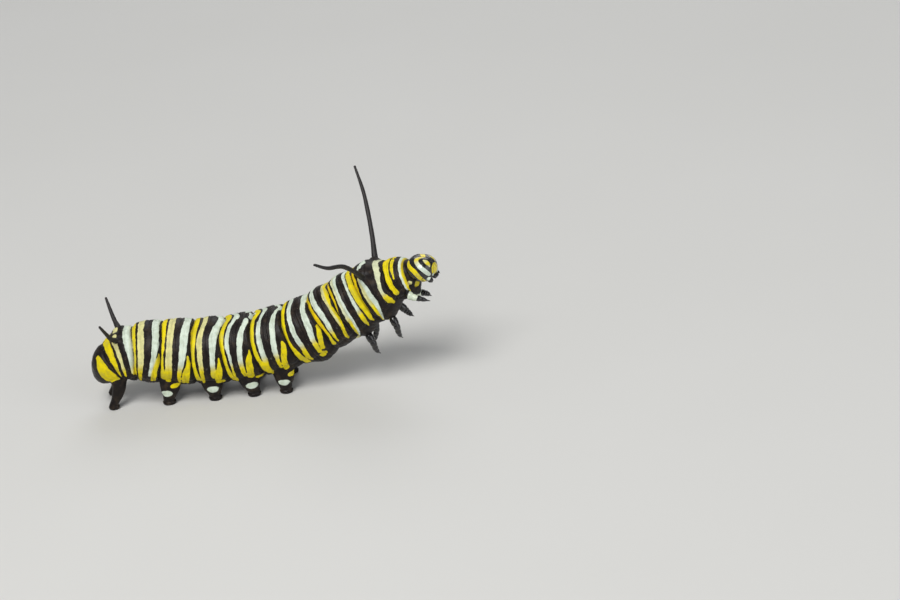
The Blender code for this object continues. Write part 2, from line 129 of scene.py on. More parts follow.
RINGS = (
    BodyRing("abdomen_tail", 3.00, 10, 48, 4.50, 1.60, 0.00, (0.0, 0.0, 0.0, 0.0)),
    BodyRing("abdomen_8", 2.30, 6, 11, 5.85, 5.10, 0.00, (0.0, 0.0, 0.0, 0.0)),
    BodyRing("abdomen_7", 3.30, 2, -5, 7.00, 6.35, 0.25, (0.1, 0.1, 0.0, -0.35)),
    BodyRing("abdomen_6", 3.85, 0, -8, 7.40, 7.05, -0.10, (0.0, 0.1, 0.0, -0.15)),
    BodyRing("abdomen_5", 3.60, -1, -1, 7.60, 7.35, -0.40, (0.1, 0.0, 0.0, 0.1)),
    BodyRing("abdomen_4", 3.50, -1, 5, 7.60, 7.40, -0.52, (0.5, -0.1, 0.0, 0.15)),
    BodyRing("abdomen_3", 3.60, -2, 11, 7.50, 7.35, -0.50, (0.5, 0.0, 0.0, 0.2)),
    BodyRing("abdomen_2", 3.30, -4, 20, 7.35, 7.20, 0.05, (0.2, 0.0, 0.0, 0.1)),
    BodyRing("abdomen_1", 3.15, -6, 27, 7.25, 7.05, 1.20, (-0.7, -0.4, 0.0, -0.4)),
    BodyRing("metathorax", 3.10, -8, 30, 7.20, 6.95, 0.75, (-0.45, -0.05, 0.0, -0.1)),
    BodyRing("mesothorax", 3.85, -12, 28, 6.80, 6.70, 0.95, (-0.45, -0.15, 0.0, 0.0)),
    BodyRing("prothorax", 2.25, -15, 23, 4.60, 5.00, 0.10, (-0.05, 0.0, 0.0, 0.05)),
)
LEAN_TURNS = (0.0, 40.0, 85.0, 120.0)
NECK_YAW = -17
NECK_PITCH = 26
NECK_WIDTH = 3.80
HEAD_SET = 1.5

# Section of the body
BELLY_FLATTENING = 0.07
FLANK_BULGE = 0.03
FLANK_ANGLE = 112
FLANK_SPREAD = 18
WIDTH_EASE = 0.5
TAIL_ROUNDING = 1.05


@dataclass(frozen=True)
class Swelling:
    """A pair of lobes below the flanks, or one under the neck: its ring, place, height and reach."""

    ring: str
    fraction: float
    turn: float
    height: float
    reach: float
    spread: float


SWELLINGS = (
    Swelling("prothorax", 0.60, 145, 0.20, 1.3, 28),
    Swelling("prothorax", 0.92, 180, 0.60, 0.95, 26),
    Swelling("mesothorax", 0.50, 152, 0.34, 2.3, 28),
    Swelling("metathorax", 0.42, 152, 0.34, 2.0, 28),
    Swelling("abdomen_2", 0.80, 150, 0.55, 1.9, 26),
)


@dataclass(frozen=True)
class Frame:
    """A place with three square directions: forward, to the left, and up."""

    origin: np.ndarray
    forward: np.ndarray
    left: np.ndarray
    up: np.ndarray

    def step(self, forward: float, left: float, up: float) -> np.ndarray:
        """Return the step that goes these distances in the three directions."""
        return self.forward * forward + self.left * left + self.up * up

    def at(self, forward: float, left: float, up: float) -> np.ndarray:
        """Return the point that lies these distances from the origin."""
        return self.origin + self.step(forward, left, up)


def unit(vector: np.ndarray) -> np.ndarray:
    """Return a vector, or each row of a table of them, at length one."""
    return vector / np.linalg.norm(vector, axis=-1, keepdims=True)


def frame_along(origin: np.ndarray, forward: np.ndarray) -> Frame:
    """Return the upright frame at a place, or at many, that looks along a direction."""
    forward = unit(np.asarray(forward, float))
    left = unit(np.cross((0.0, 0.0, 1.0), forward))
    return Frame(np.asarray(origin, float), forward, left, np.cross(forward, left))


def heading(yaw: np.ndarray | float, pitch: np.ndarray | float) -> np.ndarray:
    """Return the direction with a heading to the left and a climb, both in degrees."""
    turn, climb = np.radians(yaw), np.radians(pitch)
    parts = (np.cos(climb) * np.cos(turn), np.cos(climb) * np.sin(turn), np.sin(climb))
    return np.stack(np.broadcast_arrays(*parts), axis=-1)


def dip(distance: np.ndarray | float, reach: float) -> np.ndarray:
    """Return 1 at no distance, falling smoothly to 0 at the reach."""
    return 0.5 + 0.5 * np.cos(math.pi * np.minimum(np.abs(distance) / reach, 1.0))


def ramp(value: np.ndarray | float, start: float, end: float) -> np.ndarray:
    """Return 0 before the start and 1 after the end, with a smooth climb between them."""
    share = np.clip((np.asarray(value, float) - start) / (end - start), 0.0, 1.0)
    return share * share * (3 - 2 * share)


def curve_at(knots: Sequence[np.ndarray], reach: float) -> np.ndarray:
    """Return a point of the smooth curve from the second knot to the last but one.

    Args:
        knots: The points in order. The first and the last only lead the curve in and out.
        reach: How far along it is, counted in knots from the second.
    """
    low = min(int(reach), len(knots) - 4)
    share = reach - low
    before, start, finish, after = knots[low : low + 4]
    bend = before * 2 - start * 5 + finish * 4 - after
    curl = start * 3 - before - finish * 3 + after
    return (start * 2 + (finish - before) * share + bend * share**2 + curl * share**3) / 2


def smooth_path(corners: Sequence[np.ndarray], count: int) -> np.ndarray:
    """Return points spread evenly along a smooth curve through the corners given."""
    knots = [corners[0] * 2 - corners[1], *corners, corners[-1] * 2 - corners[-2]]
    return np.array([curve_at(knots, reach) for reach in np.linspace(0, len(corners) - 1, count)])


def ripple(points: np.ndarray, size: float, seed: float) -> np.ndarray:
    """Return smooth noise between about -1 and 1 at each point, with lumps of a size."""
    return np.array([noise.noise(Vector(point / size) + Vector((seed, seed, seed))) for point in points])


def ripples(points: np.ndarray, layers: Sequence[Triple]) -> np.ndarray:
    """Return the sum of layers of smooth noise at each point, each with a height, a size and a seed."""
    return sum(height * ripple(points, size, seed) for height, size, seed in layers)


def fields_of(
    inside: np.ndarray, tint: np.ndarray | float, gloss: np.ndarray | float, crease: np.ndarray | float = 0.0
) -> dict[str, np.ndarray]:
    """Return what the banded finish reads at each vertex, of which inside gives the number."""
    # The last field is painted shadow, darkest in the folds, creases and sutures
    fields = {"inside": inside, "tint": tint, "gloss": gloss, "crease": crease}
    return {name: np.broadcast_to(values, inside.shape) for name, values in fields.items()}


class BodyLine:
    """The curved middle line of the body, and the surface round it."""

    def __init__(self) -> None:
        """Lay the line through the rings' headings and put its anchor in place."""
        self.starts: dict[str, float] = {}
        reach = 0.0
        for ring in RINGS:
            self.starts[ring.name] = reach
            reach += ring.length
        self.neck = reach
        middles = [self.starts[ring.name] + ring.length / 2 for ring in RINGS] + [reach + HEAD_SET]
        self.steps = np.arange(0, reach + 2 * HEAD_SET + LINE_STEP, LINE_STEP)
        yaws = np.interp(self.steps, middles, [ring.yaw for ring in RINGS] + [NECK_YAW])
        pitches = np.interp(self.steps, middles, [ring.pitch for ring in RINGS] + [NECK_PITCH])
        self.directions = heading(yaws, pitches)
        strides = (self.directions[1:] + self.directions[:-1]) / 2 * LINE_STEP
        self.line = np.vstack([np.zeros(3), np.cumsum(strides, axis=0)])
        self.line += ANCHOR - self.place(self.along("abdomen_5", ANCHOR_FRACTION))
        knots = [(self.starts[ring.name], ring.waist / 2) for ring in RINGS]
        knots += [(self.starts[ring.name] + ring.length / 2, ring.width / 2) for ring in RINGS]
        self.knots = np.array(sorted(knots + [(self.neck, NECK_WIDTH / 2)]))

    def along(self, name: str, fraction: float) -> float:
        """Return the distance from the tail tip to a fraction of a ring's length."""
        return self.starts[name] + fraction * ring_named(name).length

    def read(self, table: np.ndarray, travel: np.ndarray | float) -> np.ndarray:
        """Return the row, or rows, of a table kept along the line at a distance from the tail tip."""
        return np.stack([np.interp(travel, self.steps, column) for column in table.T], axis=-1)

    def place(self, travel: np.ndarray | float) -> np.ndarray:
        """Return the point of the line at a distance from the tail tip."""
        return self.read(self.line, travel)

    def frame(self, travel: np.ndarray | float) -> Frame:
        """Return the frame of the line at a distance, or at many distances, from the tail tip."""
        return frame_along(self.place(travel), self.read(self.directions, travel))

    def envelope(self, travel: np.ndarray) -> np.ndarray:
        """Return the half width of the body, without its folds and lobes."""
        distances, radii = self.knots.T
        after = np.clip(np.searchsorted(distances, travel), 1, len(radii) - 1)
        low, high = distances[after - 1], distances[after]
        share = np.clip((travel - low) / (high - low), 0.0, 1.0)
        ease = WIDTH_EASE * ramp(share, 0, 1) + (1 - WIDTH_EASE) * share
        rings = radii[after - 1] + (radii[after] - radii[after - 1]) * ease
        cone = RINGS[1].waist / 2
        fraction = np.clip(travel / RINGS[0].length, 0.0, 1.0)
        return np.where(travel < RINGS[0].length, cone * np.sqrt(1 - (1 - fraction) ** TAIL_ROUNDING), rings)

    def radius(self, travel: np.ndarray, turn: np.ndarray) -> np.ndarray:
        """Return the body's radius with its lobes but no folds, at a travel and a turn in degrees."""
        travel, turn = np.asarray(travel, float), np.abs(np.asarray(turn, float))
        belly = BELLY_FLATTENING * np.maximum(0.0, -np.cos(np.radians(turn))) ** 4
        flank = FLANK_BULGE * np.exp(-(((turn - FLANK_ANGLE) / FLANK_SPREAD) ** 2))
        radius = self.envelope(travel) * (1 - belly + flank)
        for lobe in SWELLINGS:
            near = dip(travel - self.along(lobe.ring, lobe.fraction), lobe.reach)
            radius = radius + lobe.height * near * np.exp(-(((turn - lobe.turn) / lobe.spread) ** 2))
        return radius

    def surface(self, travel: np.ndarray, turn: np.ndarray, lift: np.ndarray | float = 0.0) -> np.ndarray:
        """Return the point of the surface at a travel and a turn, raised by the lift."""
        place = self.frame(travel)
        radius = self.radius(travel, turn) + lift
        across = np.asarray(radius * np.sin(np.radians(turn)))[..., None]
        above = np.asarray(radius * np.cos(np.radians(turn)))[..., None]
        return place.origin + place.left * across + place.up * above

    def root(self, ring: str, fraction: float, turn: float, lift: float = 0.0) -> tuple:
        """Return a place on a ring's surface, the line's frame there, and the direction outward."""
        travel = self.along(ring, fraction)
        point = self.surface(travel, turn, lift)
        place = self.frame(travel)
        return point, place, unit(point - place.origin)


def ring_named(name: str) -> BodyRing:
    """Return the ring of the body with a name."""
    return next(ring for ring in RINGS if ring.name == name)


def circle_points(
    centre: np.ndarray, axis: np.ndarray, along: np.ndarray, radii: tuple[float, float], count: int
) -> np.ndarray:
    """Return a ring of points round an axis.

    Args:
        centre: The ring's middle.
        axis: The direction that the ring looks along.
        along: The direction that its first point is as near to as can be.
        radii: Its radii towards the first point and a quarter turn on.
        count: How many points it has.

    Returns:
        One row for each point.
    """
    axis = unit(axis)
    first = unit(along - axis * np.dot(along, axis))
    second = np.cross(axis, first)
    turns = np.linspace(0, 2 * math.pi, count, endpoint=False)[:, None]
    return centre + first * (radii[0] * np.cos(turns)) + second * (radii[1] * np.sin(turns))


def rings_along(courses: Sequence[tuple], along: np.ndarray, sides: int) -> list[np.ndarray]:
    """Return a round ring of points for each course, which is a centre, an axis and a radius."""
    return [circle_points(centre, axis, along, (wide, wide), sides) for centre, axis, wide in courses]


class Piece:
    """A mesh on the bench: it is shaped in millimetres, then made an object of the scene in metres."""

    def __init__(self, name: str) -> None:
        """Start an empty mesh under a name."""
        self.name = name
        self.mesh = bmesh.new()

    def edges_of(self, loop: Sequence[bmesh.types.BMVert]) -> list[bmesh.types.BMEdge]:
        """Return the edges of a closed loop of vertices."""
        return [self.mesh.edges.get((loop[index - 1], loop[index])) for index in range(len(loop))]

    def tube(self, rings: Sequence[np.ndarray], tip: np.ndarray) -> None:
        """Grow a closed tube from a flat first ring to a point, by extruding a circle's edge.

        Args:
            rings: The points of each ring, all of one count.
            tip: The point that it ends in.
        """
        loop = first = bmesh.ops.create_circle(self.mesh, segments=len(rings[0]), radius=1.0)["verts"]
        for number, points in enumerate(rings):
            if number:
                grown = bmesh.ops.extrude_edge_only(self.mesh, edges=self.edges_of(loop))["geom"]
                new = {part for part in grown if isinstance(part, bmesh.types.BMVert)}
                loop = [next(e.other_vert(v) for e in v.link_edges if e.other_vert(v) in new) for v in loop]
            for vert, point in zip(loop, points):
                vert.co = point
        bmesh.ops.edgeloop_fill(self.mesh, edges=self.edges_of(first))
        cap = bmesh.ops.edgeloop_fill(self.mesh, edges=self.edges_of(loop))["faces"]
        bmesh.ops.poke(self.mesh, faces=cap)["verts"][0].co = tip

    def ball(
        self, centre: np.ndarray, axes: Sequence[np.ndarray], radii: Sequence[float], slices: int
    ) -> None:
        """Add an egg-shaped ball.

        Args:
            centre: The ball's middle.
            axes: Three square directions.
            radii: Its half size along each of them.
            slices: How many slices it has from pole to pole.
        """
        turn = Matrix([list(axis) for axis in axes]).transposed().to_4x4()
        place = Matrix.Translation(centre) @ turn @ Matrix.Diagonal((*radii, 1.0))
        bmesh.ops.create_uvsphere(
            self.mesh, u_segments=slices * 2, v_segments=slices, radius=1.0, matrix=place
        )

    def spike(
        self,
        root: np.ndarray,
        lean: np.ndarray,
        length: float,
        sunk: float,
        radii: tuple[float, float],
        sides: int = 3,
    ) -> None:
        """Add a thin cone that leaves a surface.

        Args:
            root: Where it leaves the surface.
            lean: The direction that it points in.
            length: Its whole length.
            sunk: How much of that lies below the surface.
            radii: Its radius at the foot and at the tip.
            sides: How many sides it has.
        """
        turned = Vector(lean).to_track_quat("Z", "X").to_matrix().to_4x4()
        place = Matrix.Translation(root + lean * (length / 2 - sunk)) @ turned
        bmesh.ops.create_cone(
            self.mesh, cap_ends=True, segments=sides, radius1=radii[0], radius2=radii[1], depth=length,
            matrix=place,
        )

    def finish(
        self,
        material: bpy.types.Material,
        slot: Slot,
        replaces: Sequence[str] = (),
        fields: dict[str, np.ndarray] | None = None,
    ) -> bpy.types.Object:
        """Make the mesh an object that rides on the body.

        Args:
            material: The finish.
            slot: The record's slot for the piece's finish; it is not used.
            replaces: The nodes that the piece stands for.
            fields: A number for each vertex, under the name that the material reads it by.

        Returns:
            The new object.
        """
        bmesh.ops.recalc_face_normals(self.mesh, faces=self.mesh.faces)
        bmesh.ops.scale(self.mesh, vec=(MM, MM, MM), verts=self.mesh.verts)
        data = bpy.data.meshes.new(self.name)
        self.mesh.to_mesh(data)
        self.mesh.free()
        for layer in [a.name for a in data.attributes if a.domain == "POINT" and a.name.startswith("bench_")]:
            data.attributes.remove(data.attributes[layer])
        for label, values in (fields or {}).items():
            data.attributes.new(label, "FLOAT", "POINT").data.foreach_set("value", values.astype(np.float32))
        data.shade_smooth()
        data.materials.append(material)
        piece = bpy.data.objects.new(self.name, data)
        bpy.context.scene.collection.objects.link(piece)
        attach(piece, BODY)
        if replaces:
            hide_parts(*replaces)
        LOG.info("%s: %d faces, stands for %d nodes", self.name, len(data.polygons), len(replaces))
        return piece


class Nodes:
    """Shorthand for wiring a node tree."""

    def __init__(self, tree: bpy.types.NodeTree) -> None:
        """Keep the tree that the nodes go into."""
        self.tree = tree

    def add(self, kind: str, settings: dict | None = None, **inputs: object) -> bpy.types.Node:
        """Add a node.

        Args:
            kind: The node's type, without its ShaderNode prefix.
            settings: Properties of the node itself.
            **inputs: Values or sockets for its inputs. An underscore in a name stands for a space, and
                in_0 stands for the first input.

        Returns:
            The new node.
        """
        node = self.tree.nodes.new("ShaderNode" + kind)
        for key, value in (settings or {}).items():
            setattr(node, key, value)
        for key, value in inputs.items():
            name = key.replace("_", " ")
            socket = node.inputs[int(key[3:])] if key.startswith("in_") else node.inputs[name]
            if isinstance(value, bpy.types.NodeSocket):
                self.tree.links.new(value, socket)
            else:
                socket.default_value = value
        return node

    def math(self, operation: str, first: object, second: object = 0.0, third: object = 0.0) -> object:
        """Return the output of a sum on two or three values or sockets."""
        node = self.add("Math", {"operation": operation}, in_0=first, in_1=second, in_2=third)
        return node.outputs[0]

    def between(self, value: object, low: float, high: float) -> object:
        """Return a socket that climbs smoothly from 0 to 1 as a value goes from low to high."""
        settings = {"interpolation_type": "SMOOTHSTEP"}
        return self.add("MapRange", settings, in_0=value, in_1=low, in_2=high).outputs[0]

    def blend(self, share: object, first: object, second: object, mode: str = "MIX") -> object:
        """Return the mix of two colours."""
        node = self.add("Mix", {"data_type": "RGBA", "blend_type": mode, "clamp_factor": True})
        for socket, value in zip((node.inputs[0], node.inputs[6], node.inputs[7]), (share, first, second)):
            if isinstance(value, bpy.types.NodeSocket):
                self.tree.links.new(value, socket)
            elif socket == node.inputs[0]:
                socket.default_value = value
            else:
                socket.default_value = (*value, 1.0)
        return node.outputs[2]

    def field(self, name: str) -> object:
        """Return the value that a mesh keeps at each vertex under a name."""
        return self.add("Attribute", {"attribute_name": name}).outputs["Fac"]

    def scale_of(self, stops: Sequence[tuple[float, Triple]], value: object) -> object:
        """Return the colour at a value on a scale of colour stops."""
        node = self.add("ValToRGB", None, Fac=value)
        scale = node.color_ramp
        while len(scale.elements) < len(stops):
            scale.elements.new(0.5)
        for element, (place, colour) in zip(scale.elements, stops):
            element.position = place
            element.color = (*colour, 1.0)
        return node.outputs[0]

    def wire(
        self, shader: bpy.types.Node, colour: object, rough: object, grain: bpy.types.Node, depth: float
    ) -> None:
        """Lead a colour, a roughness and a grain into a shader, with the grain's depth in metres."""
        bump = self.add("Bump", None, Height=grain.outputs["Height"], Strength=BUMP_STRENGTH, Distance=depth)
        for value, name in ((colour, "Base Color"), (rough, "Roughness"), (bump.outputs["Normal"], "Normal")):
            self.tree.links.new(value, shader.inputs[name])


@dataclass(frozen=True)
class Effects:
    """The shader groups that more than one finish uses."""

    grain: bpy.types.NodeTree
    band_edge: bpy.types.NodeTree

    @staticmethod
    def build() -> "Effects":
        """Build each group once."""
        return Effects(Effects.build_grain(), Effects.build_band_edge())

    @staticmethod
    def new_group(name: str, inputs: dict[str, float], outputs: Sequence[str]) -> tuple:
        """Start a group of number sockets and return its tree, its wiring, and its ends."""
        tree = bpy.data.node_groups.new(name, "ShaderNodeTree")
        for label, value in inputs.items():
            socket = tree.interface.new_socket(label, in_out="INPUT", socket_type="NodeSocketFloat")
            socket.default_value = value
        for label in outputs:
            tree.interface.new_socket(label, in_out="OUTPUT", socket_type="NodeSocketFloat")
        start = tree.nodes.new("NodeGroupInput")
        end = tree.nodes.new("NodeGroupOutput")
        return tree, Nodes(tree), start, end

    @staticmethod
    def build_grain() -> bpy.types.NodeTree:
        """Build the fine pebbled grain of skin and horn, as a height, and its mottling."""
        tree, nodes, start, end = Effects.new_group(
            "fine_grain", {"Pebble Scale": 9000.0, "Mottle Scale": 1500.0}, ("Height", "Mottle")
        )
        place = nodes.add("TexCoord").outputs["Object"]
        pebbles = nodes.add("TexVoronoi", None, Vector=place, Scale=start.outputs["Pebble Scale"])
        mottle = nodes.add("TexNoise", None, Vector=place, Scale=start.outputs["Mottle Scale"], Detail=5.0)
        soft = nodes.math("MULTIPLY", mottle.outputs["Fac"], MOTTLE_HEIGHT)
        pits = nodes.math("MULTIPLY", pebbles.outputs["Distance"], PEBBLE_HEIGHT)
        height = nodes.math("SUBTRACT", soft, pits)
        tree.links.new(height, end.inputs["Height"])
        tree.links.new(mottle.outputs["Fac"], end.inputs["Mottle"])
        return tree

    @staticmethod
    def build_band_edge() -> bpy.types.NodeTree:
        """Build the wavering edge of a band, from the distance in millimetres inside it."""
        tree, nodes, start, end = Effects.new_group(
            "band_edge", {"Inside": 0.0, "Waver": 0.08, "Softness": 0.02, "Waver Scale": 2200.0}, ("Mask",)
        )
        place = nodes.add("TexCoord").outputs["Object"]
        waves = nodes.add("TexNoise", None, Vector=place, Scale=start.outputs["Waver Scale"], Detail=4.0)
        shift = nodes.math("SUBTRACT", waves.outputs["Fac"], NOISE_MIDDLE)
        inside = nodes.math("MULTIPLY_ADD", shift, start.outputs["Waver"], start.outputs["Inside"])
        soft = start.outputs["Softness"]
        mask = nodes.add("MapRange", {"interpolation_type": "SMOOTHSTEP"}, in_0=inside, in_2=soft)
        tree.links.new(nodes.math("MULTIPLY", soft, -1.0), mask.inputs[1])
        tree.links.new(mask.outputs[0], end.inputs["Mask"])
        return tree


def new_material(name: str) -> tuple[bpy.types.Material, Nodes, bpy.types.Node]:
    """Return a material with its wiring and its main shader."""
    material = bpy.data.materials.new(name)
    material.use_nodes = True
    return material, Nodes(material.node_tree), material.node_tree.nodes["Principled BSDF"]


@dataclass(frozen=True)
class BandedFinish:
    """Skin or horn in a dark colour with light bands, which the mesh keeps as distances and tints."""

    name: str
    dark: Triple = (0.0095, 0.0066, 0.0060)
    dark_worn: Triple = (0.036, 0.024, 0.015)
    dark_patches: tuple[float, float] = (0.46, 0.74)
    white: Triple = (0.70, 0.80, 0.70)
    cream: Triple = (0.76, 0.73, 0.34)
    yellow: Triple = (0.84, 0.69, 0.001)
    orange: Triple = (0.84, 0.60, 0.001)
    tint_mottle: float = 0.22
    soiled: Triple = (0.80, 0.80, 0.74)
    clean: Triple = (1.0, 1.0, 1.0)
    light_patches: tuple[float, float] = (0.36, 0.64)
    # Painted shadow: the dark brown that folds, creases and sutures are multiplied towards, and how strongly
    crease_shade: Triple = (0.30, 0.24, 0.20)
    crease_share: float = 0.75
    dark_roughness: float = 0.46
    light_roughness: float = 0.50
    gloss_roughness: float = 0.14
    roughness_mottle: float = 0.2
    grain_depth: float = 0.00003
    pebble_scale: float = 8000.0
    waver: float = 0.16
    shine: float = 0.22
    coat: float = 0.0
    coat_roughness: float = 0.12

    def build(self, effects: Effects) -> bpy.types.Material:
        """Return the material."""
        material, nodes, shader = new_material(self.name)
        grain = nodes.add("Group", {"node_tree": effects.grain}, Pebble_Scale=self.pebble_scale)
        mottle = grain.outputs["Mottle"]
        patchy = nodes.math("SUBTRACT", mottle, NOISE_MIDDLE)
        edge = nodes.add(
            "Group", {"node_tree": effects.band_edge}, Inside=nodes.field("inside"), Waver=self.waver
        ).outputs["Mask"]
        tint = nodes.math("MULTIPLY_ADD", patchy, self.tint_mottle, nodes.field("tint"))
        places = (Tint.WHITE, Tint.CREAM, Tint.YELLOW, Tint.ORANGE)
        tones = (self.white, self.cream, self.yellow, self.orange)
        scale = nodes.scale_of([(place.value, tone) for place, tone in zip(places, tones)], tint)
        wash = nodes.blend(nodes.between(mottle, *self.light_patches), self.soiled, self.clean)
        light = nodes.blend(1.0, scale, wash, "MULTIPLY")
        dark = nodes.blend(nodes.between(mottle, *self.dark_patches), self.dark, self.dark_worn)
        colour = nodes.blend(edge, dark, light)
        # Painted shadow: the colour is darkened towards that brown by the field the mesh keeps for its folds,
        # creases and sutures
        shade = nodes.math("MULTIPLY", nodes.field("crease"), self.crease_share)
        colour = nodes.blend(shade, colour, self.crease_shade, "MULTIPLY")
        gloss = nodes.field("gloss")
        step = self.light_roughness - self.dark_roughness
        rough = nodes.math("MULTIPLY_ADD", edge, step, self.dark_roughness)
        rough = nodes.math("MULTIPLY_ADD", patchy, self.roughness_mottle, rough)
        smooth = nodes.math("MULTIPLY", gloss, self.gloss_roughness)
        rough = nodes.math("MULTIPLY_ADD", rough, nodes.math("SUBTRACT", 1.0, gloss), smooth)
        nodes.wire(shader, colour, rough, grain, self.grain_depth)
        shader.inputs["Specular IOR Level"].default_value = self.shine
        shader.inputs["Coat Weight"].default_value = self.coat
        shader.inputs["Coat Roughness"].default_value = self.coat_roughness
        return material


@dataclass(frozen=True)
class HornFinish:
    """Dark horn or hair in one colour with a fine grain."""

    name: str
    colour: Triple
    worn: Triple
    roughness: float
    coat: float = 0.0
    patches: tuple[float, float] = (0.40, 0.72)
    roughness_mottle: float = 0.22
    roughness_drop: float = 0.1
    grain_depth: float = 0.000008
    pebble_scale: float = 12000.0
    mottle_scale: float = 2600.0

    def build(self, effects: Effects) -> bpy.types.Material:
        """Return the material."""
        material, nodes, shader = new_material(self.name)
        sizes = {"Pebble_Scale": self.pebble_scale, "Mottle_Scale": self.mottle_scale}
        grain = nodes.add("Group", {"node_tree": effects.grain}, **sizes)
        mottle = grain.outputs["Mottle"]
        colour = nodes.blend(nodes.between(mottle, *self.patches), self.colour, self.worn)
        least = self.roughness - self.roughness_drop
        rough = nodes.math("MULTIPLY_ADD", mottle, self.roughness_mottle, least)
        nodes.wire(shader, colour, rough, grain, self.grain_depth)
        shader.inputs["Coat Weight"].default_value = self.coat
        return material


@dataclass(frozen=True)
class FloorFinish:
    """A pale, matt studio floor with a faint unevenness."""

    name: str = "studio_floor"
    pale: Triple = (0.62, 0.62, 0.60)
    paler: Triple = (0.66, 0.66, 0.645)
    cloud_scale: float = 18.0
    roughness: float = 0.75

    def build(self) -> bpy.types.Material:
        """Return the material."""
        material, nodes, shader = new_material(self.name)
        place = nodes.add("TexCoord").outputs["Object"]
        cloud = nodes.add("TexNoise", None, Vector=place, Scale=self.cloud_scale, Detail=3.0)
        colour = nodes.blend(cloud.outputs["Fac"], self.pale, self.paler)
        nodes.tree.links.new(colour, shader.inputs["Base Color"])
        shader.inputs["Roughness"].default_value = self.roughness
        return material


@dataclass(frozen=True)
class Band:
    """A light band across a ring of the body, the same on both sides.

    Each knot gives a turn from the back and the band's tail edge and head edge there, as fractions of the
    ring's length. A band that starts past the back has a rounded upper end, and all have a lower one.
    """

    ring: str
    tint: Tint
    knots: tuple[Triple, ...]
    low_tint: Tint | None = None
    rim_tint: Tint | None = None


WHITE, IVORY, CREAM, YELLOW, ORANGE = Tint

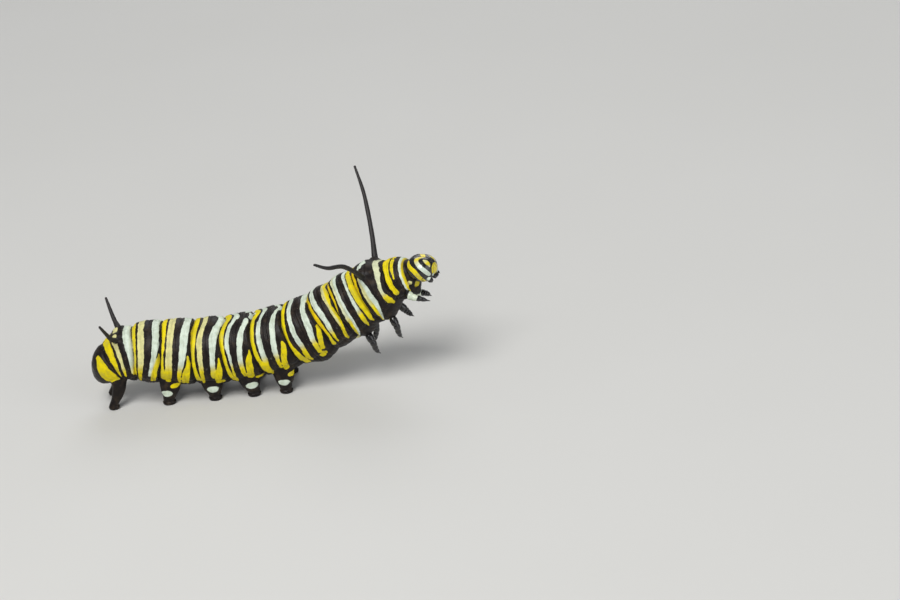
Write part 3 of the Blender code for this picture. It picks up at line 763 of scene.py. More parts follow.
# On a full ring the bands come in the same order from tail to head: a yellow one, a pale one that joins
# it below, a wide black gap, a white one, and a yellow wedge that joins that below
BAND_ROWS: dict[str, tuple] = {
    "abdomen_tail": (
        (YELLOW, ((30, 0.74, 0.88), (50, 0.56, 0.90), (84, 0.38, 0.90), (108, 0.36, 0.92),
         (126, 0.54, 0.90))),
    ),
    "abdomen_8": (
        (YELLOW, ((6, 0.08, 0.34), (50, 0.10, 0.37), (85, 0.08, 0.31), (112, 0.02, 0.14))),
        (CREAM, ((8, 0.42, 0.60), (50, 0.44, 0.63), (85, 0.44, 0.62), (110, 0.38, 0.54)), YELLOW),
        (WHITE, ((0, 0.84, 1.14), (45, 0.85, 1.20), (75, 0.90, 1.16), (106, 0.84, 0.98)), CREAM),
    ),
    "abdomen_7": (
        (YELLOW, ((0, 0.12, 0.25), (45, 0.13, 0.25), (75, 0.12, 0.21), (110, -0.08, 0.08))),
        (CREAM, ((0, 0.30, 0.47), (45, 0.29, 0.49), (75, 0.25, 0.47), (110, 0.13, 0.32), (133, 0.08, 0.19)),
         YELLOW),
        (WHITE, ((0, 0.69, 0.92), (45, 0.73, 0.97), (76, 0.69, 0.88), (110, 0.53, 0.64))),
        (YELLOW, ((69, 0.92, 1.00), (80, 0.84, 1.00), (106, 0.65, 0.86), (128, 0.58, 0.77))),
    ),
    "abdomen_6": (
        (YELLOW, ((0, 0.00, 0.15), (45, 0.05, 0.15), (90, 0.01, 0.10), (119, -0.05, 0.16))),
        (CREAM, ((0, 0.19, 0.38), (60, 0.17, 0.36), (106, 0.11, 0.33), (140, 0.09, 0.22)), YELLOW),
        (WHITE, ((0, 0.62, 0.84), (32, 0.56, 0.83), (75, 0.54, 0.75), (104, 0.48, 0.61), (130, 0.48, 0.56)),
         YELLOW),
        (YELLOW, ((72, 0.77, 0.85), (88, 0.74, 0.88), (104, 0.62, 0.85), (130, 0.56, 0.77))),
    ),
    "abdomen_5": (
        (YELLOW, ((0, -0.08, 0.15), (31, -0.13, 0.09), (60, -0.11, 0.03), (92, -0.08, 0.04),
         (120, -0.02, 0.16))),
        (CREAM, ((0, 0.24, 0.42), (45, 0.09, 0.29), (90, 0.11, 0.27), (132, 0.13, 0.22)), YELLOW),
        (WHITE, ((0, 0.78, 1.02), (20, 0.64, 0.88), (40, 0.53, 0.79), (78, 0.49, 0.67), (110, 0.44, 0.60)),
         YELLOW),
        (YELLOW, ((78, 0.73, 0.80), (94, 0.66, 0.82), (106, 0.56, 0.80), (123, 0.53, 0.70))),
    ),
    "abdomen_4": (
        (YELLOW, ((0, 0.03, 0.27), (20, -0.09, 0.11), (45, -0.18, 0.00), (82, -0.13, 0.00),
         (130, -0.03, 0.13))),
        (WHITE, ((0, 0.32, 0.54), (25, 0.14, 0.30), (55, 0.00, 0.16), (84, 0.07, 0.17), (136, 0.07, 0.17)),
         YELLOW),
        (WHITE, ((0, 0.88, 1.12), (8, 0.85, 1.00))),
        (WHITE, ((15, 0.67, 0.88), (45, 0.46, 0.69), (72, 0.37, 0.57), (100, 0.34, 0.50), (119, 0.37, 0.50)),
         YELLOW),
        (YELLOW, ((73, 0.73, 0.82), (88, 0.59, 0.80), (104, 0.54, 0.76), (125, 0.46, 0.70))),
    ),
    "abdomen_3": (
        (YELLOW, ((0, 0.10, 0.30), (18, -0.04, 0.15), (45, -0.11, 0.05), (80, -0.11, 0.03),
         (104, -0.03, 0.13), (126, 0.04, 0.27))),
        (WHITE, ((0, 0.36, 0.54), (20, 0.23, 0.38), (50, 0.09, 0.27), (80, 0.09, 0.27), (138, 0.15, 0.24)),
         YELLOW),
        (WHITE, ((0, 0.94, 1.12), (12, 0.78, 0.96), (30, 0.65, 0.86), (58, 0.56, 0.76), (90, 0.48, 0.66),
         (120, 0.49, 0.58)), YELLOW),
        (YELLOW, ((74, 0.84, 0.96), (90, 0.73, 0.94), (104, 0.64, 0.83), (127, 0.56, 0.74))),
    ),
    "abdomen_2": (
        (YELLOW, ((0, 0.14, 0.31), (45, 0.02, 0.20), (80, 0.05, 0.18), (107, 0.11, 0.32), (136, 0.18, 0.38))),
        (WHITE, ((0, 0.40, 0.62), (22, 0.35, 0.54), (60, 0.32, 0.52), (100, 0.38, 0.56), (127, 0.37, 0.52)),
         YELLOW),
        (WHITE, ((0, 0.95, 1.22), (34, 0.90, 1.12), (67, 0.88, 1.14), (98, 0.81, 0.99), (117, 0.81, 0.95)),
         YELLOW),
        (YELLOW, ((72, 1.26, 1.35), (88, 1.12, 1.32), (112, 0.94, 1.13))),
    ),
    "abdomen_1": (
        (ORANGE, ((0, 0.15, 0.27), (36, 0.24, 0.43), (70, 0.38, 0.56), (98, 0.46, 0.57), (118, 0.36, 0.53)),
         YELLOW),
        (WHITE, ((0, 0.36, 0.54), (31, 0.43, 0.66), (74, 0.61, 0.81), (117, 0.58, 0.67)), YELLOW),
        (CREAM, ((0, 0.84, 1.03), (23, 0.89, 1.17), (55, 1.01, 1.20), (90, 1.04, 1.22), (128, 0.86, 0.97)),
         YELLOW, YELLOW),
    ),
    "metathorax": (
        (ORANGE, ((10, 0.15, 0.27), (34, 0.27, 0.40), (56, 0.33, 0.43), (78, 0.27, 0.31))),
        (IVORY, ((0, 0.33, 0.60), (40, 0.48, 0.67), (78, 0.46, 0.69), (119, 0.33, 0.53), (138, 0.20, 0.28)),
         YELLOW, WHITE),
        (WHITE, ((0, 0.79, 0.92), (30, 0.89, 1.01), (70, 0.95, 1.07), (115, 0.83, 1.00), (130, 0.79, 0.87)),
         YELLOW),
        (YELLOW, ((0, 0.96, 1.11), (40, 1.05, 1.26), (99, 1.12, 1.34), (127, 1.07, 1.18))),
    ),
    "mesothorax": (
        (ORANGE, ((8, 0.14, 0.27), (43, 0.22, 0.35), (74, 0.26, 0.32)), YELLOW),
        (WHITE, ((0, 0.39, 0.60), (15, 0.39, 0.53))),
        (CREAM, ((31, 0.42, 0.54), (70, 0.41, 0.64), (113, 0.39, 0.60), (138, 0.31, 0.38)), YELLOW, WHITE),
        (IVORY, ((0, 0.78, 0.94), (45, 0.85, 0.99), (95, 0.81, 0.93), (112, 0.82, 1.00), (128, 0.87, 0.97)),
         YELLOW),
    ),
    "prothorax": (
        (YELLOW, ((0, 0.10, 0.45), (45, 0.17, 0.45), (80, 0.17, 0.46), (106, 0.21, 0.50))),
        (YELLOW, ((6, 0.50, 0.70), (40, 0.50, 0.67), (69, 0.54, 0.63))),
        (WHITE, ((0, 0.87, 1.08), (60, 0.86, 1.07), (96, 0.81, 1.04), (132, 0.76, 0.92)), None, YELLOW),
    ),
}
BANDS = tuple(Band(ring, *row) for ring, rows in BAND_ROWS.items() for row in rows)


@dataclass(frozen=True)
class Spot:
    """An oval light spot on the body: its ring, place, half sizes along and round, and tint."""

    ring: str
    fraction: float
    turn: float
    half_along: float
    half_round: float
    tint: Tint


SPOTS = (
    Spot("abdomen_2", 0.90, 127, 0.46, 0.38, YELLOW),
    Spot("metathorax", 0.12, 146, 0.28, 0.34, CREAM),
    Spot("mesothorax", 0.42, 151, 0.26, 0.30, CREAM),
    Spot("prothorax", 1.08, 108, 0.20, 0.26, CREAM),
    Spot("prothorax", 1.24, 148, 0.42, 0.42, YELLOW),
)


@dataclass(frozen=True)
class Proleg:
    """A fleshy foot: the ring it grows from, where its root and its sole are, and its root's girth."""

    name: str
    ring: str
    root_fraction: float
    root_turn: float
    sole_fraction: float
    sole_left: float
    root_along: float
    root_across: float
    spotted: bool = True


PROLEGS = (
    Proleg("proleg_3", "abdomen_3", 0.46, 143, 0.62, 2.35, 1.15, 0.90),
    Proleg("proleg_4", "abdomen_4", 0.42, 143, 0.60, 2.40, 1.15, 0.90),
    Proleg("proleg_5", "abdomen_5", 0.36, 143, 0.38, 2.45, 1.15, 0.90),
    Proleg("proleg_6", "abdomen_6", 0.20, 143, 0.00, 2.40, 1.15, 0.90),
    Proleg("proleg_anal", "abdomen_tail", 0.70, 140, 0.62, 1.80, 0.95, 0.80, False),
)
FULL_PROLEG_ROOT = 1.15
SIDES = (("left", 1), ("right", -1))


@dataclass(frozen=True)
class FootSpot:
    """An oval light spot by a fleshy foot: steps from the sole, half length and height, and its tint."""

    forward: float
    outward: float
    up: float
    half_long: float
    half_high: float
    tint: Tint


FOOT_SPOTS = (
    FootSpot(0.0, 0.85, 1.45, 0.66, 0.36, WHITE),
    FootSpot(1.02, 0.85, 2.25, 0.52, 0.28, YELLOW),
)

# Rings of a fleshy foot: how far down its length, or how high off the floor, and its radii along and across
THIGH = (0.22, 1.10, 0.86)
CALF = (0.50, 0.86, 0.74)
ANKLE_TOP = 0.58
ANKLE_SHARE = 0.72
LEAN_RATE = 1.6
FOOT_RINGS = ((0.52, 0.62, 0.52), (0.34, 0.74, 0.60), (0.14, 0.74, 0.60), (0.0, 0.66, 0.52))


@dataclass
class FootPath:
    """The course of one fleshy foot from the flank to the floor, as the solids have it."""

    line: BodyLine
    plan: Proleg
    side: int
    root: np.ndarray = field(init=False)
    axis: np.ndarray = field(init=False)
    level: np.ndarray = field(init=False)
    sole: np.ndarray = field(init=False)

    def __post_init__(self) -> None:
        """Find the root, the sole and the directions between them."""
        plan = self.plan
        travel = self.line.along(plan.ring, plan.root_fraction)
        self.root = self.line.surface(travel, self.side * plan.root_turn)
        self.axis = unit(self.root - self.line.place(travel))
        base = self.line.frame(self.line.along(plan.ring, plan.sole_fraction))
        self.level = unit(base.forward * (1, 1, 0))
        self.sole = (base.origin + base.left * (self.side * plan.sole_left)) * (1, 1, 0)

    def stations(self) -> list[tuple[np.ndarray, np.ndarray, float, float]]:
        """Return the centre, axis and radii of each ring from the root down to the sole."""
        size = self.plan.root_along / FULL_PROLEG_ROOT
        down = np.array((0.0, 0.0, -1.0))
        rings = [(self.root, self.axis, self.plan.root_along, self.plan.root_across)]
        for share, along, across in (THIGH, CALF):
            centre = self.root + (self.sole - self.root) * share
            centre[2] = self.root[2] + (ANKLE_TOP - self.root[2]) * share / ANKLE_SHARE
            lean = self.axis + (down - self.axis) * min(share * LEAN_RATE, 1.0)
            rings.append((centre, unit(lean), along * size, across * size))
        for rise, along, across in FOOT_RINGS:
            rings.append((self.sole + (0, 0, rise), down, along * size, across * size))
        return rings

    def ring(self, share: float) -> tuple[np.ndarray, np.ndarray, np.ndarray, float, float]:
        """Return the centre, the two directions and the radii of the ring at a share of the length."""
        table = [np.array([*centre, *axis, along, across]) for centre, axis, along, across in self.stations()]
        row = curve_at([table[0], *table, table[-1]], share * (len(table) - 1))
        axis = unit(row[3:6])
        first = unit(self.level - axis * np.dot(self.level, axis))
        return row[:3], first, np.cross(axis, first), float(row[6]), float(row[7])


@dataclass
class BodySkin:
    """The one skin over the rings of the body and the fleshy feet."""

    line: BodyLine
    seed: int = 4
    sides: int = 160
    coarse_step: float = 0.092
    fine_step: float = 0.060
    fine_reach: float = 0.6
    first_row: float = 0.02
    flank_turn: float = 85.0
    weld_reach: float = 0.0005
    # The collar that runs into the head
    collar: float = 0.75
    collar_width: float = 2.3
    collar_lead: float = 0.1
    # Folds between the rings, with the wide hollow round each, and the fewest and most crests of their
    # waver round the body, of which the second is left out
    fold_crests: tuple[int, int] = (3, 6)
    fold_depth: float = 0.22
    fold_reach: float = 0.30
    fold_shadow: float = 0.55
    # The share of a fold's reach that gets painted shadow
    fold_waver: float = 0.6
    tail_fold: float = 0.6
    hollow_depth: float = 0.07
    hollow_reach: float = 0.75
    # Creases and finer wrinkles across each ring, at shares of its length
    creases: tuple[float, ...] = (0.30, 0.53, 0.76)
    crease_depth: float = 0.085
    crease_reach: float = 0.14
    crease_strength: tuple[float, float] = (0.6, 1.2)
    # How dark the painted shadow along a crease is
    crease_shadow: float = 0.35
    crease_crests: tuple[int, int] = (3, 7)
    wrinkles: tuple[float, ...] = (0.12, 0.21, 0.41, 0.64, 0.88)
    wrinkle_depth: float = 0.032
    wrinkle_reach: float = 0.075
    wrinkle_waver: float = 1.5
    wrinkle_crests: tuple[int, int] = (4, 10)
    break_crests: tuple[int, int] = (3, 9)
    waver: float = 0.07
    # Grooves along the flanks, each a depth, a turn and a spread, and where they fade in and out
    grooves: tuple[Triple, ...] = ((0.10, 127, 4.5), (0.05, 99, 4.0))
    groove_start: tuple[float, float] = (2.2, 3.4)
    groove_end: float = 1.5
    # The knoll under each filament
    knoll_height: float = 0.42
    knoll_reach: float = 1.0
    # Unevenness as layers of a height, a size and a seed, and puckers that run along the body
    lumps: tuple[Triple, ...] = ((0.035, 1.1, 3.0), (0.014, 0.33, 8.0))
    pucker_depth: float = 0.030
    pucker_length: float = 0.24
    puckers: float = 2.6
    pucker_seed: float = 6.0
    # Edges and tints of the bands and spots
    band_trim: float = 0.03
    band_waver: tuple[Triple, ...] = ((0.05, 0.75, 2.0), (0.03, 0.28, 11.0))
    least_girth: float = 0.3
    tint_sharpness: float = 14.0
    low_tint_turns: tuple[float, float] = (84.0, 104.0)
    rim_edge: float = 0.15
    least_half: float = 0.05
    spot_depth: float = 1.2
    # The dark plate over the tail, which has no bands, and the cap on the bands' depth elsewhere
    plate_reach: float = 1.10
    plate_bulge: float = 0.35
    plate_rate: float = 1.5
    plate_edge: float = 0.12
    plate_turns: tuple[float, float] = (72, 92)
    plate_gloss: float = 0.6
    plate_cut: float = 0.5
    deepest: float = 0.2
    # The fleshy feet: how far round a root the skin is softened, and how the feet are drawn out
    root_search: float = 2.4
    soft_reach: float = 1.6
    soft_height: float = 1.2
    inner_share: float = 0.94
    foot_steps: int = 26
    foot_pace: float = 0.92
    foot_ring_depth: float = 0.035
    foot_rings: float = 30
    foot_ring_end: float = 0.75
    foot_dome: float = 0.35
    smoothings: int = 5
    foot_gloss: float = 0.85
    foot_gloss_shares: tuple[float, float] = (0.45, 0.75)

    def folds(self, turn: np.ndarray) -> list[np.ndarray]:
        """Return the travel of each fold between rings at each turn, with the tail tip and the neck."""
        around = np.abs(turn)
        lines = [np.zeros_like(around)]
        for ring in RINGS[1:]:
            shift = ring.fold_shift + np.interp(around, LEAN_TURNS, ring.fold_lean)
            lines.append(self.line.starts[ring.name] + shift)
        lines.append(np.full_like(around, self.line.neck + self.collar_lead))
        return lines

    def depth(self, travel: np.ndarray, turn: np.ndarray) -> tuple[np.ndarray, np.ndarray]:
        """Return how deep folds, creases and wrinkles are, and the painted shadow of folds and creases."""
        draw = np.random.default_rng(self.seed)
        angle = np.radians(turn)
        lines = self.folds(turn)
        depth = np.zeros_like(travel)
        crease = np.zeros_like(travel)

        def wave(fewest: int, most: int) -> np.ndarray:
            """Return a wave round the body, with its number of crests and its phase drawn."""
            return np.sin(angle * draw.integers(fewest, most) + draw.uniform(0, WAVE_PHASES))

        for number, middle in enumerate(lines[1:]):
            away = travel - middle - self.waver * wave(*self.fold_crests) * self.fold_waver
            size = 1.0 if number else self.tail_fold
            fold = self.fold_depth * dip(away, self.fold_reach)
            depth += size * (fold + self.hollow_depth * dip(away, self.hollow_reach))
            # Painted shadow in the middle of each fold
            crease = np.maximum(crease, dip(away, self.fold_reach * self.fold_shadow))
        for low, high in zip(lines[1:], lines[2:]):
            for share in self.creases:
                shift = self.waver * wave(*self.crease_crests)
                strength = draw.uniform(*self.crease_strength)
                away = travel - (low + (high - low) * share) - shift
                depth += strength * self.crease_depth * dip(away, self.crease_reach)
                # Painted shadow along each crease
                shadow = self.crease_shadow * strength * dip(away, self.crease_reach / 2)
                crease = np.maximum(crease, shadow)
            for share in self.wrinkles:
                shift = self.waver * self.wrinkle_waver * wave(*self.wrinkle_crests)
                broken = 0.5 + 0.5 * wave(*self.break_crests)
                away = travel - (low + (high - low) * share) - shift
                depth += broken * self.wrinkle_depth * dip(away, self.wrinkle_reach)
        return depth, crease

    def stations(self) -> np.ndarray:
        """Return the travels of the skin's rings, closer together at the folds and the tail tip."""
        fold_lines = np.array([float(fold[0]) for fold in self.folds(np.array([self.flank_turn]))][1:])
        travel, rows = self.first_row, []
        while travel < self.line.neck + self.collar:
            rows.append(travel)
            near = float(dip(np.min(np.abs(fold_lines - travel)), self.fine_reach))
            tail = 1 - float(ramp(travel, 0.0, self.fine_reach))
            travel += self.coarse_step - (self.coarse_step - self.fine_step) * max(near, tail)
        return np.array(rows)

    def place(self, travel: np.ndarray, turn: np.ndarray) -> np.ndarray:
        """Return the skin's point at each travel and turn, with all its relief."""
        depth, _ = self.depth(travel, turn)
        neck = self.line.neck
        past = ramp(travel, neck - self.collar_lead, neck + self.collar)
        lift = -depth * (1 - past) - past * (NECK_WIDTH - self.collar_width) / 2
        body = ramp(travel, *self.groove_start) * (1 - ramp(travel, neck - self.groove_end, neck))
        for height, middle, spread in self.grooves:
            lift -= height * body * np.exp(-(((np.abs(turn) - middle) / spread) ** 2))
        for plan in FILAMENTS:
            root = self.line.along(plan.ring, plan.root_fraction)
            arc = np.radians(turn - plan.side * plan.root_turn) * float(self.line.envelope(np.array(root)))
            lift += self.knoll_height * dip(np.hypot(travel - root, arc), self.knoll_reach)
        rise = ripples(self.line.surface(travel, turn, lift).reshape(-1, 3), self.lumps)
        angle = np.radians(turn)
        columns = (travel / self.pucker_length, self.puckers * np.sin(angle), self.puckers * np.cos(angle))
        rise += self.pucker_depth * ripple(np.stack(columns, axis=-1).reshape(-1, 3), 1.0, self.pucker_seed)
        return self.line.surface(travel, turn, lift + rise.reshape(travel.shape) * (1 - past))

    def build(self, material: bpy.types.Material) -> bpy.types.Object:
        """Build the skin, pull the feet out of it, mark its bands and dress it.

        Args:
            material: The banded finish.

        Returns:
            The skin's object.
        """
        piece = Piece("banded_skin")
        mesh = piece.mesh
        rows = self.stations()
        turns = np.linspace(-180, 180, self.sides + 1)
        points = self.place(*np.meshgrid(rows, turns, indexing="ij"))
        points[:, -1] = points[:, 0]
        bmesh.ops.create_grid(mesh, x_segments=self.sides, y_segments=len(rows) - 1, size=1.0)
        layers = [mesh.verts.layers.float.new("bench_" + name) for name in ("travel", "turn", "foot")]
        travel_layer, turn_layer, foot_layer = layers
        seam = []
        for vert in mesh.verts:
            column = round((vert.co.x + 1) / 2 * self.sides)
            row = round((vert.co.y + 1) / 2 * (len(rows) - 1))
            vert.co = points[row, column]
            vert[travel_layer] = rows[row]
            vert[turn_layer] = turns[column]
            if column in (0, self.sides):
                seam.append(vert)
        bmesh.ops.remove_doubles(mesh, verts=seam, dist=self.weld_reach)
        rim = [edge for edge in mesh.edges if edge.is_boundary]
        caps = bmesh.ops.holes_fill(mesh, edges=rim, sides=0)["faces"]
        for middle in bmesh.ops.poke(mesh, faces=caps)["verts"]:
            travel = 0.0 if middle.co.x < 0 else rows[-1]
            middle.co = self.line.place(travel)
            middle[travel_layer] = travel
        feet = [FootPath(self.line, plan, side) for plan in PROLEGS for _, side in SIDES]
        self.pull_feet(mesh, feet, foot_layer)
        travel, turn, foot = (np.array([vert[layer] for vert in mesh.verts]) for layer in layers)
        place = np.array([vert.co for vert in mesh.verts])
        inside, tint = self.mark(travel, turn, foot, place, feet)
        plate = self.anal_plate(travel, turn)
        inside = np.minimum(inside, -plate * self.plate_cut + self.deepest * (plate <= 0))
        gloss = np.maximum(ramp(foot, *self.foot_gloss_shares) * self.foot_gloss, plate * self.plate_gloss)
        # Painted shadow in the folds and creases of the body, none on the feet
        crease = np.where(foot > 0, 0.0, self.depth(travel, turn)[1])
        names = [ring.name for ring in RINGS]
        names += [f"{plan.name}_{label}" for plan in PROLEGS for label, _ in SIDES]
        return piece.finish(material, Slot.SKIN, names, fields_of(inside, tint, gloss, crease))

    def anal_plate(self, travel: np.ndarray, turn: np.ndarray) -> np.ndarray:
        """Return how fully each place lies on the hard dark plate over the tail."""
        reach = self.plate_reach + self.plate_bulge * np.cos(np.radians(turn) * self.plate_rate)
        along = ramp(travel, reach - self.plate_edge, reach + self.plate_edge)
        return (1 - along) * (1 - ramp(np.abs(turn), *self.plate_turns))

    def root_of(self, mesh: bmesh.types.BMesh, foot: FootPath) -> tuple[list, list, dict]:
        """Find the part of the skin that a fleshy foot grows from.

        Args:
            mesh: The skin.
            foot: The foot's course.

        Returns:
            The vertices near the root, the faces inside it, and for each of their vertices its angle and
            its share of the root's radius.
        """
        centre, first, second, along, across = foot.ring(0.0)
        axis = np.cross(first, second)

        def spread(point: Sequence[float]) -> Triple:
            """Return a point's angle and share of the radius on the root, and its height off it."""
            offset = np.asarray(point) - centre
            a, b = offset @ first / along, offset @ second / across
            return math.atan2(b, a), math.hypot(a, b), abs(offset @ axis)

        near = []
        for vert in mesh.verts:
            if (vert.co - Vector(centre)).length < self.root_search:
                _, radius, height = spread(vert.co)
                if radius < self.soft_reach and height < self.soft_height:
                    near.append(vert)
        faces = set()
        for face in {face for vert in near for face in vert.link_faces}:
            if max(spread(face.calc_center_median())[1:]) < 1.0:
                faces.add(face)
        polar = {}
        for vert in {vert for face in faces for vert in face.verts}:
            angle, radius, _ = spread(vert.co)
            edge = any(face not in faces for face in vert.link_faces)
            polar[vert] = (angle, 1.0 if edge else min(radius, 1.0) * self.inner_share)
        return near, list(faces), polar

    def pull_feet(self, mesh: bmesh.types.BMesh, feet: list[FootPath], foot_layer: object) -> None:
        """Pull the fleshy feet out of the skin down to their flat soles, all of them step by step.

        Args:
            mesh: The skin.
            feet: The feet's courses.
            foot_layer: The layer that keeps each vertex's share of its foot.
        """
        soft, region, polar = [], [], {}
        for foot in feet:
            near, faces, places = self.root_of(mesh, foot)
            soft += near
            region += faces
            polar.update({vert: (foot, *place) for vert, place in places.items()})
        for step in range(1, self.foot_steps + 1):
            share = (step / self.foot_steps) ** self.foot_pace
            grown = bmesh.ops.extrude_face_region(mesh, geom=region)["geom"]
            old = [face for face in region if face.is_valid]
            key = {vert.co.to_tuple(6): value for vert, value in polar.items()}
            after = [part for part in grown if isinstance(part, bmesh.types.BMVert)]
            polar = {vert: key[vert.co.to_tuple(6)] for vert in after}
            region = [part for part in grown if isinstance(part, bmesh.types.BMFace)]
            if old:
                bmesh.ops.delete(mesh, geom=old, context="FACES")
            ringed = self.foot_ring_depth * (share < self.foot_ring_end)
            band = 1 + ringed * math.sin(share * self.foot_rings)
            dome = self.foot_dome * (1 - share) ** 2
            rings = {id(foot): foot.ring(share) for foot in feet}
            for vert, (foot, angle, radius) in polar.items():
                centre, first, second, along, across = rings[id(foot)]
                a = radius * along * band * math.cos(angle)
                b = radius * across * band * math.sin(angle)
                rise = dome * (1 - radius**2)
                vert.co = Vector(centre + first * a + second * b) + Vector(first).cross(second) * rise
                vert[foot_layer] = share
                if step == self.foot_steps:
                    vert.co.z = 0.0
                elif radius == 1.0 and step < self.foot_steps - 1:
                    soft.append(vert)
        soft = list({vert for vert in soft if vert.is_valid})
        ways = {"use_axis_" + axis: True for axis in "xyz"}
        for _ in range(self.smoothings):
            bmesh.ops.smooth_vert(mesh, verts=soft, factor=0.5, **ways)

    def mark(
        self, travel: np.ndarray, turn: np.ndarray, foot: np.ndarray, place: np.ndarray, feet: list[FootPath]
    ) -> tuple[np.ndarray, np.ndarray]:
        """Return how far inside a light band each vertex lies, in millimetres, and that band's tint."""
        inside = np.full_like(travel, OUTSIDE)
        tint = np.zeros_like(travel)
        weight = np.zeros_like(travel)
        for distance, shade in self.light_places(travel, np.abs(turn), foot, place, feet):
            share = np.exp(self.tint_sharpness * np.maximum(distance, OUTSIDE))
            weight += share
            tint += share * shade
            inside = np.maximum(inside, distance)
        return inside, tint / weight

    def light_places(
        self,
        travel: np.ndarray,
        around: np.ndarray,
        foot: np.ndarray,
        place: np.ndarray,
        feet: list[FootPath],
    ) -> Iterator[tuple]:
        """Give, for each band and then each spot, how far inside it each vertex lies and its tint."""
        girth = np.maximum(self.line.envelope(travel), self.least_girth)
        trim = self.band_trim + ripples(place, self.band_waver)
        for band in BANDS:
            angles, tails, heads = (np.array(column) for column in zip(*band.knots))
            start, length = self.line.starts[band.ring], ring_named(band.ring).length
            tail, head = (start + length * smooth_read(around, angles, edge) for edge in (tails, heads))
            half, away = (head - tail) / 2, travel - (tail + head) / 2
            past = np.maximum(around - angles[-1], 0.0)
            if angles[0] > 0:
                past = np.maximum(past, angles[0] - around)
            past = np.radians(past) * girth
            distance = half - np.where(past > 0, np.hypot(away, past), np.abs(away)) - trim
            shade = np.full_like(travel, band.tint.value)
            if band.low_tint:
                shade += (band.low_tint.value - shade) * ramp(around, *self.low_tint_turns)
            if band.rim_tint:
                rim = ramp(away / np.maximum(half, self.least_half), -self.rim_edge, self.rim_edge)
                shade += (band.rim_tint.value - shade) * rim
            yield np.where(foot > 0, OUTSIDE, distance), shade
        for middle, along, down, half_along, half_round, colour in self.spots(feet):
            offset = place - middle
            share = np.hypot(offset @ along / half_along, offset @ down / half_round)
            close = np.abs(offset @ np.cross(along, down)) < self.spot_depth
            yield np.where(close, (1 - share) * min(half_along, half_round), OUTSIDE), colour.value

    def spots(self, feet: list[FootPath]) -> list[tuple]:
        """Return each spot's middle, its directions along and round, its half sizes and its tint."""
        found = []
        for spot in SPOTS:
            for _, side in SIDES:
                middle, place, out = self.line.root(spot.ring, spot.fraction, side * spot.turn)
                down = unit(np.cross(place.forward, out))
                found.append((middle, place.forward, down, spot.half_along, spot.half_round, spot.tint))
        up = np.array((0.0, 0.0, 1.0))
        for foot in feet:
            outward = np.cross(up, foot.level) * foot.side
            for spot in FOOT_SPOTS if foot.plan.spotted else ():
                middle = foot.sole + foot.level * spot.forward + outward * spot.outward + up * spot.up
                found.append((middle, foot.level, up, spot.half_long, spot.half_high, spot.tint))
        return found


def smooth_read(value: np.ndarray, places: np.ndarray, heights: np.ndarray) -> np.ndarray:
    """Return the height at each value on a smooth curve through the knots, level past both ends."""
    slopes = np.gradient(heights, places)
    slopes[0] = 0.0
    low = np.clip(np.searchsorted(places, value, side="right") - 1, 0, len(places) - 2)
    span = places[low + 1] - places[low]
    share = np.clip((value - places[low]) / span, 0.0, 1.0)
    rise = heights[low + 1] - heights[low]
    curve = heights[low] + rise * share * share * (3 - 2 * share)
    lead = share * (1 - share) ** 2 * slopes[low] * span
    trail = share * share * (share - 1) * slopes[low + 1] * span
    return curve + lead + trail


@dataclass(frozen=True)
class Filament:
    """A soft filament: where its root is, its side, its length, and its path in parts of that length."""

    name: str
    ring: str
    root_fraction: float
    root_turn: float
    side: int
    length: float
    steps: tuple[Triple, ...]


FILAMENTS = (
    Filament(
        "filament_front_left", "mesothorax", 0.60, 44, 1, FRONT_FILAMENT_LENGTH,
        ((0.0, 0.0, 0.0), (0.03, 0.17, 0.17), (0.06, 0.35, 0.38), (0.07, 0.49, 0.54), (0.06, 0.66, 0.75)),
    ),
    Filament(
        "filament_front_right", "mesothorax", 0.60, 44, -1, FRONT_FILAMENT_LENGTH,
        ((0.0, 0.0, 0.0), (0.04, 0.14, 0.13), (0.06, 0.31, 0.27), (0.05, 0.54, 0.38), (0.05, 0.71, 0.51)),
    ),
    Filament(
        "filament_rear_left", "abdomen_8", 0.60, 32, 1, REAR_FILAMENT_LENGTH,
        ((0.0, 0.0, 0.0), (-0.06, 0.20, 0.16), (-0.10, 0.38, 0.33), (-0.16, 0.72, 0.64)),
    ),
    Filament(
        "filament_rear_right", "abdomen_8", 0.60, 32, -1, REAR_FILAMENT_LENGTH,
        ((0.0, 0.0, 0.0), (-0.08, 0.16, 0.16), (-0.11, 0.28, 0.35), (-0.15, 0.59, 0.78)),
    ),
)


